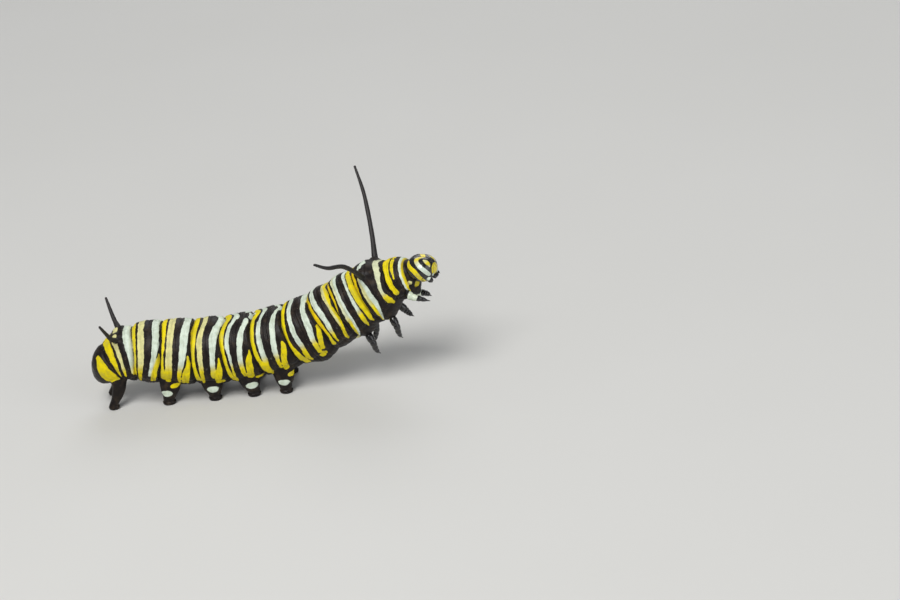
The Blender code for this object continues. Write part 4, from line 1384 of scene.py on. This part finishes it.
@dataclass
class Filaments:
    """The two pairs of soft filaments, finely ringed and flared where they leave the back."""

    line: BodyLine
    root: float = 0.34
    middle: float = 0.26
    tip: float = 0.13
    root_share: float = 0.25
    taper: float = 3.0
    sunk: float = 0.70
    sunk_steps: tuple[float, float, int] = (1.0, 0.15, 7)
    sunk_bulge: float = 0.22
    sides: int = 20
    step: float = 0.07
    ring_pitch: float = 0.21
    ring_depth: float = 0.045
    swell: float = 0.03
    swell_rate: float = 2.3
    # The rounding of the tip: how far beyond the path's end, and the share of the tip's girth there
    rounding: tuple[tuple[float, float], ...] = ((0.05, 0.85), (0.09, 0.5))

    def girth(self, share: float) -> float:
        """Return half the width at a share of the length."""
        flare = (self.root - self.middle) * max(0.0, 1 - share / self.root_share)
        return self.middle + flare - (self.middle - self.tip) * share**self.taper

    def build(self, material: bpy.types.Material) -> list[bpy.types.Object]:
        """Build and dress every filament."""
        return [self.build_one(plan, material) for plan in FILAMENTS]

    def build_one(self, plan: Filament, material: bpy.types.Material) -> bpy.types.Object:
        """Build one filament from its sunk root to its rounded tip."""
        root, place, out = self.line.root(plan.ring, plan.root_fraction, plan.side * plan.root_turn, GAP)
        steps = [place.step(ahead, plan.side * off, up) for ahead, off, up in plan.steps]
        count = int(plan.length / self.step)
        path = smooth_path([root + step * plan.length for step in steps], count)
        lead = unit(out + unit(path[1] - path[0]))
        courses = []
        for step in np.linspace(*self.sunk_steps):
            wide = self.root * (1 + self.sunk_bulge * math.sin(math.pi * step))
            courses.append((root - lead * (self.sunk * step), lead, wide))
        reach = 0.0
        for index, centre in enumerate(path):
            before, after = path[max(index - 1, 0)], path[min(index + 1, count - 1)]
            reach += float(np.linalg.norm(centre - before))
            groove = 1 - self.ring_depth * (0.5 + 0.5 * math.cos(2 * math.pi * reach / self.ring_pitch))
            swell = 1 + self.swell * math.sin(reach * self.swell_rate + plan.side)
            courses.append((centre, after - before, self.girth(index / (count - 1)) * groove * swell))
        direction = unit(path[-1] - path[-2])
        for beyond, share in self.rounding:
            courses.append((path[-1] + direction * beyond, direction, self.tip * share))
        rings = rings_along(courses, place.forward, self.sides)
        piece = Piece(plan.name + "_skin")
        piece.tube(rings, path[-1] + direction * self.tip)
        return piece.finish(material, Slot.FILAMENT, (plan.name,))


@dataclass(frozen=True)
class Leg:
    """A jointed leg: its root's place, and its knee, ankle and claw as steps forward, left and up."""

    name: str
    ring: str
    root_fraction: float
    root_turn: float
    joints: tuple[Triple, Triple, Triple]
    pale_reach: float = 0.0


LEGS = (
    Leg(
        "leg_front_left", "prothorax", 0.60, 160,
        ((0.46, 0.05, -0.32), (0.90, -0.10, -0.54), (1.28, -0.35, -0.82)), 0.45,
    ),
    Leg(
        "leg_front_right", "prothorax", 0.78, -130,
        ((0.42, -0.05, -0.42), (0.92, 0.10, -0.87), (1.50, 0.35, -1.52)), 0.95,
    ),
    Leg(
        "leg_middle_left", "mesothorax", 0.55, 158,
        ((0.10, 0.05, -0.50), (0.25, 0.00, -0.90), (0.50, -0.20, -1.30)),
    ),
    Leg(
        "leg_middle_right", "mesothorax", 0.50, -154,
        ((-0.05, -0.15, -0.70), (-0.35, -0.05, -1.40), (-0.60, 0.30, -2.15)),
    ),
    Leg(
        "leg_hind_left", "metathorax", 0.38, 156,
        ((-0.35, 0.05, -0.60), (-0.80, -0.05, -1.10), (-1.25, -0.35, -1.60)),
    ),
    Leg(
        "leg_hind_right", "metathorax", 0.42, -154,
        ((-0.05, -0.15, -0.75), (-0.30, -0.05, -1.45), (-0.45, 0.30, -2.20)),
    ),
)


@dataclass
class JointedLegs:
    """The six jointed legs of glossy horn, each with four joints and a hooked claw."""

    line: BodyLine
    sides: int = 20
    stations: int = 44
    sunk: float = 0.40
    # How far below the skin, as a share, and half the width there
    sunk_profile: tuple[tuple[float, float], ...] = ((1.0, 0.26), (0.75, 0.33), (0.5, 0.38), (0.25, 0.42))
    # Share of the length and half width at each side of every joint
    profile: tuple[tuple[float, float], ...] = (
        (0.00, 0.43), (0.10, 0.43), (0.20, 0.39), (0.235, 0.32), (0.26, 0.37), (0.36, 0.37), (0.45, 0.32),
        (0.475, 0.26), (0.50, 0.32), (0.60, 0.32), (0.69, 0.27), (0.715, 0.215), (0.74, 0.265),
        (0.84, 0.215), (0.88, 0.16), (0.93, 0.095), (1.00, 0.045),
    )
    # The claw's hook: its steps forward, up and outward, where it starts, and how far it bends
    hook: Triple = (0.4, -0.6, -0.5)
    hook_start: float = 0.86
    hook_bend: float = 0.10
    tip_ahead: float = 0.10
    tip_bend: float = 0.14
    pale_start: float = -0.05
    pale_tint: float = 0.05
    gloss_edge: float = 0.1

    def build(self, material: bpy.types.Material) -> list[bpy.types.Object]:
        """Build and dress every leg."""
        return [self.build_one(plan, material) for plan in LEGS]

    def build_one(self, plan: Leg, material: bpy.types.Material) -> bpy.types.Object:
        """Build one leg from its sunk root to the tip of its claw."""
        root, place, out = self.line.root(plan.ring, plan.root_fraction, plan.root_turn, GAP)
        path = smooth_path([root] + [root + place.step(*joint) for joint in plan.joints], self.stations)
        lead = unit(out * 2 + unit(path[2] - path[0]))
        ahead, up, outward = self.hook
        hook = unit(place.forward * ahead + place.up * up + out * outward)
        courses = []
        for step, width in self.sunk_profile:
            courses.append((root - lead * (step * (GAP + self.sunk)), lead, width))
        shares = np.arange(self.stations) / (self.stations - 1)
        widths = np.interp(shares, *zip(*self.profile))
        for index in range(2, self.stations):
            after = path[min(index + 1, self.stations - 1)]
            bend = self.hook_bend * float(ramp(shares[index], self.hook_start, 1.0)) ** 2
            courses.append((path[index] + hook * bend, after - path[index - 1], float(widths[index])))
        rings = rings_along(courses, place.forward, self.sides)
        tip = path[-1] + unit(path[-1] - path[-2]) * self.tip_ahead + hook * self.tip_bend
        piece = Piece(plan.name + "_horn")
        piece.tube(rings, tip)
        points = np.array([vert.co for vert in piece.mesh.verts])
        reach = (points - root) @ unit(path[self.stations // 2] - root)
        pale = np.minimum(plan.pale_reach - reach, reach - self.pale_start)
        if plan.pale_reach == 0:
            pale = np.full(len(points), OUTSIDE)
        fields = fields_of(pale, self.pale_tint, ramp(-pale, 0.0, self.gloss_edge))
        return piece.finish(material, Slot.LEG, (plan.name,), fields)


@dataclass
class Spiracles:
    """The small oval breathing holes in the dark gap of each ring, each a raised rim round a slit."""

    line: BodyLine
    turn: float = 95.0
    half_high: float = 0.15
    half_wide: float = 0.085
    rim: float = 0.028
    thick: float = 0.035
    slit_share: tuple[float, float] = (0.7, 0.55)
    slit_rise: float = 0.012
    slit_thick: float = 0.036
    slices: int = 6
    places: tuple[tuple[str, float], ...] = (
        ("abdomen_8", 0.76), ("abdomen_7", 0.50), ("abdomen_6", 0.42), ("abdomen_5", 0.36),
        ("abdomen_4", 0.27), ("abdomen_3", 0.38), ("abdomen_2", 0.69), ("abdomen_1", 0.91),
        ("prothorax", 0.75),
    )

    def build(self, skin: BodySkin, material: bpy.types.Material) -> bpy.types.Object:
        """Build every rim and its sunken middle as one mesh."""
        piece = Piece("spiracles")
        rim = (self.half_high + self.rim, self.half_wide + self.rim, self.thick)
        slit = (self.half_high * self.slit_share[0], self.half_wide * self.slit_share[1], self.slit_thick)
        for ring, fraction in self.places:
            travel = self.line.along(ring, fraction)
            place = self.line.frame(travel)
            for _, side in SIDES:
                spot = skin.place(np.array([[travel]]), np.array([[side * self.turn]]))[0, 0]
                out = unit(spot - place.origin)
                down = unit(np.cross(place.forward, out))
                axes = (down, place.forward, np.cross(down, place.forward))
                piece.ball(spot, axes, rim, self.slices)
                piece.ball(spot + out * self.slit_rise, axes, slit, self.slices)
        return piece.finish(material, Slot.SKIN)


@dataclass
class Setae:
    """The sparse, very short hairs of the skin, each a thin three-sided spike."""

    line: BodyLine
    count: int = 1500
    length: tuple[float, float] = (0.07, 0.17)
    width: float = 0.008
    sunk: float = 0.03
    first: float = 1.2
    neck_space: float = 0.2
    lowest: float = 128
    backward: tuple[float, float] = (-0.5, 0.2)
    scatter: float = 0.15
    seed: int = 12

    def build(self, skin: BodySkin, material: bpy.types.Material) -> bpy.types.Object:
        """Build all hairs as one mesh."""
        draw = np.random.default_rng(self.seed)
        travel = draw.uniform(self.first, self.line.neck - self.neck_space, self.count)
        turn = draw.uniform(-self.lowest, self.lowest, self.count)
        points = skin.place(travel[None, :], turn[None, :])[0]
        frames = self.line.frame(travel)
        piece = Piece("setae")
        for point, origin, forward in zip(points, frames.origin, frames.forward):
            along = forward * draw.uniform(*self.backward)
            lean = unit(unit(point - origin) + along + draw.normal(0, self.scatter, 3))
            piece.spike(point, lean, draw.uniform(*self.length), self.sunk, (self.width, 0.0))
        return piece.finish(material, Slot.SKIN)


@dataclass
class Crochets:
    """The rows of tiny hooks round the inner edge of each fleshy sole."""

    line: BodyLine
    hooks: int = 26
    length: float = 0.13
    width: float = 0.02
    tip_width: float = 0.004
    sunk: float = 0.03
    sides: int = 5
    arc: float = 1.25
    half_long: float = 0.62
    half_wide: float = 0.50
    rise: float = 0.10
    outward: float = 0.8
    downward: float = 0.55

    def build(self, material: bpy.types.Material) -> bpy.types.Object:
        """Build every hook as one mesh."""
        piece = Piece("crochets")
        for foot in [FootPath(self.line, plan, side) for plan in PROLEGS for _, side in SIDES]:
            inward = np.cross((0.0, 0.0, 1.0), foot.level) * -foot.side
            size = foot.plan.root_along / FULL_PROLEG_ROOT
            for step in np.linspace(-self.arc, self.arc, self.hooks):
                ahead, aside = foot.level * math.sin(step), inward * math.cos(step)
                root = foot.sole + ahead * (self.half_long * size) + aside * (self.half_wide * size)
                lean = unit((ahead + aside) * self.outward - np.array((0.0, 0.0, self.downward)))
                radii = (self.width, self.tip_width)
                piece.spike(root + (0, 0, self.rise), lean, self.length, self.sunk, radii, self.sides)
        return piece.finish(material, Slot.SKIN)


@dataclass(frozen=True)
class HeadBand:
    """A light band on the head: points of its middle line as forward, left and up, with half widths.

    The points are for the animal's right side, and the band is the same on the left.
    """

    tint: Tint
    points: tuple[tuple[float, float, float, float], ...]
    low_tint: Tint | None = None


HEAD_BANDS = (
    HeadBand(YELLOW, (
        (-0.96, -0.76, 1.12, 0.17), (-0.64, -1.32, 0.80, 0.23), (0.04, -1.63, 0.27, 0.27),
        (0.44, -1.45, -0.50, 0.27), (0.54, -0.98, -1.06, 0.20),
    )),
    HeadBand(YELLOW, (
        (0.58, 0.0, 1.31, 0.18), (0.30, -0.34, 1.38, 0.23), (0.05, -0.68, 1.34, 0.24),
        (0.16, -1.05, 1.15, 0.22), (0.66, -1.34, 0.68, 0.24), (1.14, -1.22, 0.05, 0.24),
        (1.30, -1.03, -0.26, 0.20),
    ), WHITE),
    HeadBand(CREAM, (
        (0.84, -0.64, 1.17, 0.10), (1.14, -0.66, 0.94, 0.24), (1.36, -0.68, 0.66, 0.16),
    ), YELLOW),
    HeadBand(CREAM, ((1.36, -0.68, 0.66, 0.16), (1.43, -0.74, 0.47, 0.06))),
    HeadBand(YELLOW, ((1.60, 0.0, 0.28, 0.16), (1.60, 0.0, 0.10, 0.44), (1.58, 0.0, -0.14, 0.70))),
    HeadBand(WHITE, ((1.56, -0.26, -0.34, 0.34), (1.47, -0.44, -0.52, 0.22))),
)


@dataclass
class Head:
    """The glossy head capsule with its arched bands and its sutures."""

    line: BodyLine
    yaw: float = -23.0
    pitch: float = 6.0
    up: float = 1.45
    down: float = 1.42
    front: float = 1.62
    back: float = 1.9
    back_share: float = 0.82
    roundness: float = 2.3
    crown_notch: float = 0.05
    crown_notch_spread: float = 14.0
    rim: float = 0.999
    # How far forward, how far turned from the neck to the face, and how far raised each ring is
    blend_stations: tuple[Triple, ...] = (
        (-1.9, 0.0, 0.16), (-1.10, 0.35, 0.16), (-0.80, 0.60, 0.14), (-0.45, 0.85, 0.08), (0.0, 1.0, 0.0),
    )
    around: int = 128
    slices: int = 96
    lumps: tuple[Triple, ...] = ((0.022, 0.42, 5.0), (0.008, 0.13, 9.0))
    gloss: float = 0.25
    # The suture down the middle of the head and its two arms beside the face plate, as left and up
    suture_fork: float = 0.62
    suture_foot: tuple[float, float] = (0.72, -0.62)
    suture_spread: float = 1.2
    suture_start: tuple[float, float] = (-0.9, -0.5)
    suture_below: float = 0.25
    suture_depth: float = 0.035
    suture_reach: float = 0.07
    band_points: int = 40
    low_tint_points: tuple[int, int] = (11, 27)
    frame: Frame = field(init=False)
    neck: Frame = field(init=False)

    def __post_init__(self) -> None:
        """Set the head on the neck."""
        self.neck = self.line.frame(self.line.neck + GAP / 2)
        centre = self.line.place(self.line.neck + HEAD_SET)
        self.frame = frame_along(centre, heading(self.yaw, self.pitch))

    def radius(self, angle: float) -> float:
        """Return the capsule's greatest radius at an angle from the crown, in radians."""
        high = self.up if math.cos(angle) > 0 else self.down
        round_radius = 1 / math.hypot(math.sin(angle) / (HEAD_WIDTH / 2), math.cos(angle) / high)
        turn = math.degrees(math.atan2(math.sin(angle), math.cos(angle)))
        return round_radius * (1 - self.crown_notch * math.exp(-((turn / self.crown_notch_spread) ** 2)))

    def face(self, left: float, up: float) -> tuple[np.ndarray, np.ndarray]:
        """Return the point of the face at a place across and up, and the direction outward there."""
        share = min(math.hypot(left, up) / self.radius(math.atan2(left, up)), self.rim)
        depth = (1 - share**self.roundness) ** (1 / self.roundness)
        spot = self.frame.at(self.front * depth, left, up)
        return spot, unit(spot - self.frame.origin)

    def build(self, material: bpy.types.Material) -> bpy.types.Object:
        """Build the capsule from a ball, cut its sutures and mark its bands."""
        piece = Piece("head_capsule")
        mesh = piece.mesh
        bmesh.ops.create_uvsphere(mesh, u_segments=self.around, v_segments=self.slices, radius=1.0)
        forwards, *blends = (np.array(column) for column in zip(*self.blend_stations))
        for vert in mesh.verts:
            ahead = math.copysign(abs(vert.co.z) ** (2 / self.roundness), vert.co.z)
            angle = math.atan2(vert.co.x, vert.co.y)
            forward = ahead * (self.front if ahead > 0 else self.back * self.back_share)
            radius = self.radius(angle) * math.hypot(vert.co.x, vert.co.y) ** (2 / self.roundness)
            share, rise = (float(np.interp(forward, forwards, column)) for column in blends)
            mixed = self.neck.forward + (self.frame.forward - self.neck.forward) * share
            place = frame_along(self.frame.origin, mixed)
            vert.co = place.at(forward, radius * math.sin(angle), radius * math.cos(angle) + rise)
        points = np.array([vert.co for vert in mesh.verts])
        offset = points - self.frame.origin
        ways = (self.frame.forward, self.frame.left, self.frame.up)
        local = np.stack([offset @ way for way in ways], axis=1)
        groove = self.groove(local)
        mesh.normal_update()
        for vert, push in zip(mesh.verts, ripples(points, self.lumps) - groove):
            vert.co = vert.co + vert.normal * float(push)
        # Painted shadow in the sutures, as dark as they are deep
        fields = fields_of(*self.mark(local), self.gloss, np.clip(groove / self.suture_depth, 0, 1))
        return piece.finish(material, Slot.HEAD, ("head",), fields)

    def groove(self, local: np.ndarray) -> np.ndarray:
        """Return how deep the sutures are at each point, given as forward, left and up from the middle."""
        forward, left, up = local.T
        foot_left, foot_up = self.suture_foot
        fall = np.clip((self.suture_fork - up) / (self.suture_fork - foot_up), 0.0, self.suture_spread)
        line = np.where(up > self.suture_fork, np.abs(left), np.abs(np.abs(left) - fall * foot_left))
        front = ramp(forward, *self.suture_start) * (up > foot_up - self.suture_below)
        return self.suture_depth * dip(line, self.suture_reach) * front

    def mark(self, local: np.ndarray) -> tuple[np.ndarray, np.ndarray]:
        """Return how far inside a light band each point lies, and that band's tint."""
        mirrored = local.copy()
        mirrored[:, 1] = -np.abs(local[:, 1])
        inside = np.full(len(local), OUTSIDE)
        tint = np.zeros(len(local))
        for band in HEAD_BANDS:
            path = smooth_path([np.array(point) for point in band.points], self.band_points)
            gaps = np.linalg.norm(mirrored[:, None, :] - path[None, :, :3], axis=2)
            nearest = np.argmin(gaps - path[None, :, 3], axis=1)
            distance = path[nearest, 3] - gaps[np.arange(len(local)), nearest]
            shade = np.full(len(local), band.tint.value)
            if band.low_tint:
                shade += (band.low_tint.value - shade) * ramp(nearest, *self.low_tint_points)
            tint = np.where(distance > inside, shade, tint)
            inside = np.maximum(inside, distance)
        return inside, tint


@dataclass
class Eyes:
    """The six small round eyes low on each side of the head."""

    head: Head
    radius: float = 0.075
    sunk: float = 0.02
    slices: int = 7
    # Places as left and up on the face, for one side
    places: tuple[tuple[float, float], ...] = (
        (1.42, -0.40), (1.45, -0.58), (1.38, -0.76), (1.24, -0.90), (1.22, -0.68), (1.24, -0.48),
    )

    def build(self, material: bpy.types.Material) -> bpy.types.Object:
        """Build all the eyes as one mesh of domes."""
        piece = Piece("eyes")
        for left, up in self.places:
            for _, side in SIDES:
                spot, out = self.head.face(side * left, up)
                place = frame_along(spot, out)
                axes = (place.forward, place.left, place.up)
                piece.ball(spot - out * self.sunk, axes, (self.radius,) * 3, self.slices)
        return piece.finish(material, Slot.HEAD)


@dataclass(frozen=True)
class FacePiece:
    """A mouthpart or feeler: its place, half its height and width, its reach and its lean.

    The profile gives the share of the reach and of the girth at each ring, and the tip is drawn back by
    blunt. A mandible is plain horn, without the tint and the gloss.
    """

    left: float
    up: float
    half_height: float
    half_width: float
    reach: float
    lean_up: float
    lean_out: float
    blunt: float
    profile: tuple[tuple[float, float], ...]
    tint: float = 0.0
    gloss: float = 0.0


LABRUM = FacePiece(
    0.0, -0.84, 0.26, 0.48, 0.32, -0.8, 0.0, 0.08,
    ((-1.0, 1.02), (0.0, 1.02), (0.35, 1.0), (0.65, 0.93), (0.85, 0.80), (0.97, 0.60)), 0.0, 0.6,
)
LABIUM = FacePiece(
    0.0, -1.35, 0.25, 0.36, 0.32, -1.6, 0.0, 0.0,
    ((-1.0, 1.05), (0.0, 1.02), (0.4, 0.96), (0.7, 0.82), (0.92, 0.58)), 0.2, 0.4,
)
MANDIBLE = FacePiece(
    0.58, -1.08, 0.25, 0.26, 0.34, -0.9, -0.1, 0.10,
    ((-1.0, 1.0), (0.0, 1.0), (0.3, 0.98), (0.55, 0.88), (0.75, 0.72), (0.9, 0.52)),
)
# A pale soft base, then two dark joints
ANTENNA = FacePiece(
    0.94, -0.80, 0.22, 0.22, 0.40, -0.8, 0.0, 0.0,
    (
        (-1.0, 1.15), (0.0, 1.08), (0.20, 0.98), (0.36, 0.84), (0.40, 0.66), (0.44, 0.68), (0.62, 0.64),
        (0.72, 0.58), (0.75, 0.40), (0.79, 0.42), (0.92, 0.36), (0.98, 0.20),
    ), 0.0, 0.3,
)


@dataclass
class Face:
    """The mouthparts and the two feelers."""

    head: Head
    sides: int = 24
    sunk: float = 0.25
    tip_reach: float = 1.04
    # The lip's notch and the jaw's teeth, in parts of the reach
    notch_depth: float = 0.5
    notch_width: float = 0.35
    tooth_depth: float = 0.16
    teeth: int = 5
    # The silk tube and two palps of the lower lip: how far left, how thick and how long
    stubs: tuple[Triple, ...] = ((0.0, 0.055, 0.20), (0.17, 0.065, 0.14), (-0.17, 0.065, 0.14))
    stub_profile: tuple[tuple[float, float], ...] = ((0.0, 1.1), (0.45, 1.0), (0.55, 0.75), (0.95, 0.6))
    stub_sunk: float = 0.10
    stub_sides: int = 10
    stub_lean: float = 0.5
    bristle_length: float = 0.22
    bristle_sunk: float = 0.05
    bristle_radii: tuple[float, float] = (0.012, 0.002)
    bristle_sides: int = 5
    pale_share: float = 0.38

    def grow(
        self, name: str, plan: FacePiece, side: int, shape: Callable[[float, float], float] | None = None
    ) -> tuple[Piece, np.ndarray, np.ndarray, np.ndarray]:
        """Start a piece that stands out of the face.

        Args:
            name: The piece's name.
            plan: Its sizes.
            side: 1 for the animal's left and -1 for its right.
            shape: A share to lengthen each point by, from its angle and its ring's share of the reach.

        Returns:
            The piece, its root, the direction that it stands out in, and its tip.
        """
        face = self.head.frame
        root, _ = self.head.face(side * plan.left, plan.up)
        outward = unit(face.step(1, side * plan.lean_out, plan.lean_up))
        rings = []
        for share, girth in plan.profile:
            lead = share * plan.reach if share > 0 else share * self.sunk
            radii = (plan.half_height * girth, plan.half_width * girth)
            ring = circle_points(root + outward * lead, outward, face.up, radii, self.sides)
            for index in range(self.sides if shape else 0):
                ring[index] += outward * (shape(2 * math.pi * index / self.sides, share) * plan.reach)
            rings.append(ring)
        tip = root + outward * (plan.reach * self.tip_reach - plan.blunt)
        piece = Piece(name)
        piece.tube(rings, tip)
        return piece, root, outward, tip

    def build(self, horn: bpy.types.Material, banded: bpy.types.Material) -> None:
        """Build and dress every piece of the face."""
        self.build_labrum(banded)
        self.build_labium(banded)
        for label, side in SIDES:
            self.build_mandible(label, side, horn)
            self.build_antenna(label, side, banded)

    def notch(self, angle: float, share: float) -> float:
        """Return how far the upper lip's edge is drawn back at its middle."""
        middle = math.exp(-((math.sin(angle) / self.notch_width) ** 2)) * (math.cos(angle) < 0)
        return -self.notch_depth * share * middle

    def tooth(self, angle: float, share: float) -> float:
        """Return how far the jaw's biting edge stands out in teeth."""
        return self.tooth_depth * share * max(0.0, math.cos(angle * self.teeth))

    def build_labrum(self, material: bpy.types.Material) -> bpy.types.Object:
        """Build the upper lip, a rounded plate with a notch in its edge."""
        piece, _, _, _ = self.grow("labrum_horn", LABRUM, 1, self.notch)
        fields = fields_of(np.full(len(piece.mesh.verts), OUTSIDE), LABRUM.tint, LABRUM.gloss)
        return piece.finish(material, Slot.HEAD, ("labrum",), fields)

    def build_labium(self, material: bpy.types.Material) -> bpy.types.Object:
        """Build the lower lip with the small silk tube and its two palps."""
        piece, _, outward, tip = self.grow("labium_horn", LABIUM, 1)
        face = self.head.frame
        lean = unit(outward + face.forward * self.stub_lean)
        for left, size, length in self.stubs:
            start = tip + face.left * left - outward * self.stub_sunk
            profile = self.stub_profile
            courses = [(start + lean * (length * share), lean, size * girth) for share, girth in profile]
            piece.tube(rings_along(courses, face.up, self.stub_sides), start + lean * length)
        fields = fields_of(np.full(len(piece.mesh.verts), OUTSIDE), LABIUM.tint, LABIUM.gloss)
        return piece.finish(material, Slot.HEAD, ("labium",), fields)

    def build_mandible(self, label: str, side: int, material: bpy.types.Material) -> bpy.types.Object:
        """Build one jaw with its toothed edge."""
        name = f"mandible_{label}"
        piece, _, _, _ = self.grow(name + "_horn", MANDIBLE, side, self.tooth)
        return piece.finish(material, Slot.HEAD, (name,))

    def build_antenna(self, label: str, side: int, material: bpy.types.Material) -> bpy.types.Object:
        """Build one feeler with its bristle."""
        name = f"antenna_{label}"
        piece, root, outward, tip = self.grow(name + "_skin", ANTENNA, side)
        radii, sides = self.bristle_radii, self.bristle_sides
        piece.spike(tip, outward, self.bristle_length, self.bristle_sunk, radii, sides)
        reach = (np.array([vert.co for vert in piece.mesh.verts]) - root) @ outward
        fields = fields_of(ANTENNA.reach * self.pale_share - reach, ANTENNA.tint, ANTENNA.gloss)
        return piece.finish(material, Slot.HEAD, (name,), fields)


@dataclass
class HeadHairs:
    """The fine pale hairs on the face."""

    head: Head
    count: int = 70
    length: tuple[float, float] = (0.12, 0.32)
    width: float = 0.008
    sunk: float = 0.04
    spread: tuple[float, float] = (0.02, 0.93)
    scatter: float = 0.22
    seed: int = 21

    def build(self, material: bpy.types.Material) -> bpy.types.Object:
        """Build all hairs as one mesh."""
        draw = np.random.default_rng(self.seed)
        piece = Piece("head_hairs")
        for _ in range(self.count):
            angle = draw.uniform(0, 2 * math.pi)
            radius = self.head.radius(angle) * math.sqrt(draw.uniform(*self.spread))
            spot, out = self.head.face(radius * math.sin(angle), radius * math.cos(angle))
            lean = unit(out + draw.normal(0, self.scatter, 3))
            piece.spike(spot, lean, draw.uniform(*self.length), self.sunk, (self.width, 0.0))
        return piece.finish(material, Slot.HEAD)


@dataclass(frozen=True)
class Lamp:
    """A soft square light that looks at the model: its place, its side, its power in watts, its colour."""

    name: str
    place: Triple
    size: float
    power: float
    colour: Triple

    def build(self) -> None:
        """Hang the light."""
        lamp = bpy.data.lights.new(self.name, "AREA")
        lamp.size = self.size
        lamp.energy = self.power
        lamp.color = self.colour
        light = bpy.data.objects.new(self.name, lamp)
        light.location = self.place
        light.rotation_euler = (-Vector(self.place)).to_track_quat("-Z", "Y").to_euler()
        bpy.context.scene.collection.objects.link(light)


LAMPS = (
    Lamp("key_light", (-0.10, -0.25, 0.42), 0.26, 2.0, (1.0, 0.985, 0.96)),
    Lamp("fill_light", (0.42, -0.30, 0.22), 0.40, 0.8, (0.96, 0.98, 1.0)),
    Lamp("back_light", (0.05, 0.42, 0.34), 0.35, 0.7, (1.0, 1.0, 1.0)),
)


@dataclass
class Studio:
    """The pale floor, the soft lights and the camera, in metres."""

    floor_size: float = 3.0
    floor_level: float = -0.00002
    air_colour: tuple[float, ...] = (0.93, 0.95, 1.0, 1.0)
    air_strength: float = 0.20
    camera_place: Triple = (0.043075, -0.242028, 0.121201)
    camera_right: Triple = (0.99076028, 0.03271646, -0.13161952)
    camera_up: Triple = (0.10501826, 0.42903129, 0.89716404)
    camera_back: Triple = (0.08582093, -0.90269695, 0.42163134)
    camera_clip: tuple[float, float] = (0.005, 10.0)
    lens: float = 100.0
    sensor: float = 36.0

    def build(self) -> None:
        """Build the floor, the lights and the camera."""
        bpy.context.scene.view_settings.view_transform = "Standard"
        self.build_floor()
        for lamp in LAMPS:
            lamp.build()
        world = bpy.context.scene.world or bpy.data.worlds.new("studio_air")
        bpy.context.scene.world = world
        world.use_nodes = True
        sky = world.node_tree.nodes["Background"]
        sky.inputs["Color"].default_value = self.air_colour
        sky.inputs["Strength"].default_value = self.air_strength
        self.add_camera()

    def build_floor(self) -> None:
        """Lay the floor."""
        mesh = bmesh.new()
        bmesh.ops.create_grid(mesh, x_segments=1, y_segments=1, size=self.floor_size / 2)
        bmesh.ops.translate(mesh, vec=(0, 0, self.floor_level), verts=mesh.verts)
        data = bpy.data.meshes.new("floor")
        mesh.to_mesh(data)
        mesh.free()
        data.materials.append(FloorFinish().build())
        floor = bpy.data.objects.new("floor", data)
        bpy.context.scene.collection.objects.link(floor)
        floor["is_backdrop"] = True

    def add_camera(self) -> None:
        """Add the camera at the photograph's viewing angle."""
        data = bpy.data.cameras.new("camera")
        data.lens = self.lens
        data.sensor_width = self.sensor
        data.clip_start, data.clip_end = self.camera_clip
        camera = bpy.data.objects.new("camera", data)
        turned = Matrix((self.camera_right, self.camera_up, self.camera_back)).transposed()
        camera.matrix_world = Matrix.Translation(self.camera_place) @ turned.to_4x4()
        bpy.context.scene.collection.objects.link(camera)
        bpy.context.scene.camera = camera


def write_sizes() -> None:
    """Work out the solids' box and the dressed model's box."""
    boxes = {"cad": CAD_BOX, "visual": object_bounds()}
    plain = {name: [[float(value) for value in corner] for corner in box] for name, box in boxes.items()}


def main() -> None:
    """Build the larva and the studio, piece by piece."""
    logging.basicConfig(level=logging.INFO, format="%(name)s: %(message)s")
    effects = Effects.build()
    skin_finish = BandedFinish("banded_skin").build(effects)
    head_finish = BandedFinish(
        "head_horn", dark=(0.009, 0.0085, 0.009), dark_worn=(0.032, 0.031, 0.034), dark_roughness=0.24,
        light_roughness=0.30, gloss_roughness=0.12, grain_depth=0.00001, waver=0.05, shine=0.5, coat=0.4,
    ).build(effects)
    leg_finish = BandedFinish(
        "leg_horn", dark=(0.006, 0.0055, 0.006), dark_worn=(0.014, 0.013, 0.014), dark_roughness=0.22,
        gloss_roughness=0.15, waver=0.05, shine=0.5, coat=0.4,
    ).build(effects)
    filament_finish, horn_finish, hair_finish, hook_finish = (
        finish.build(effects)
        for finish in (
            HornFinish("filament_skin", (0.008, 0.0062, 0.0065), (0.022, 0.018, 0.018), 0.52),
            HornFinish("black_horn", (0.005, 0.005, 0.005), (0.014, 0.012, 0.012), 0.22, coat=0.5),
            HornFinish("pale_hair", (0.38, 0.32, 0.22), (0.52, 0.46, 0.34), 0.45),
            HornFinish("brown_hook", (0.07, 0.035, 0.015), (0.12, 0.065, 0.03), 0.35),
        )
    )
    Studio().build()
    line = BodyLine()
    skin = BodySkin(line)
    skin.build(skin_finish)
    Spiracles(line).build(skin, horn_finish)
    Setae(line).build(skin, hair_finish)
    Crochets(line).build(hook_finish)
    Filaments(line).build(filament_finish)
    JointedLegs(line).build(leg_finish)
    head = Head(line)
    head.build(head_finish)
    Eyes(head).build(horn_finish)
    Face(head).build(horn_finish, head_finish)
    HeadHairs(head).build(hair_finish)
    write_sizes()


if __name__ == "__main__":
    main()
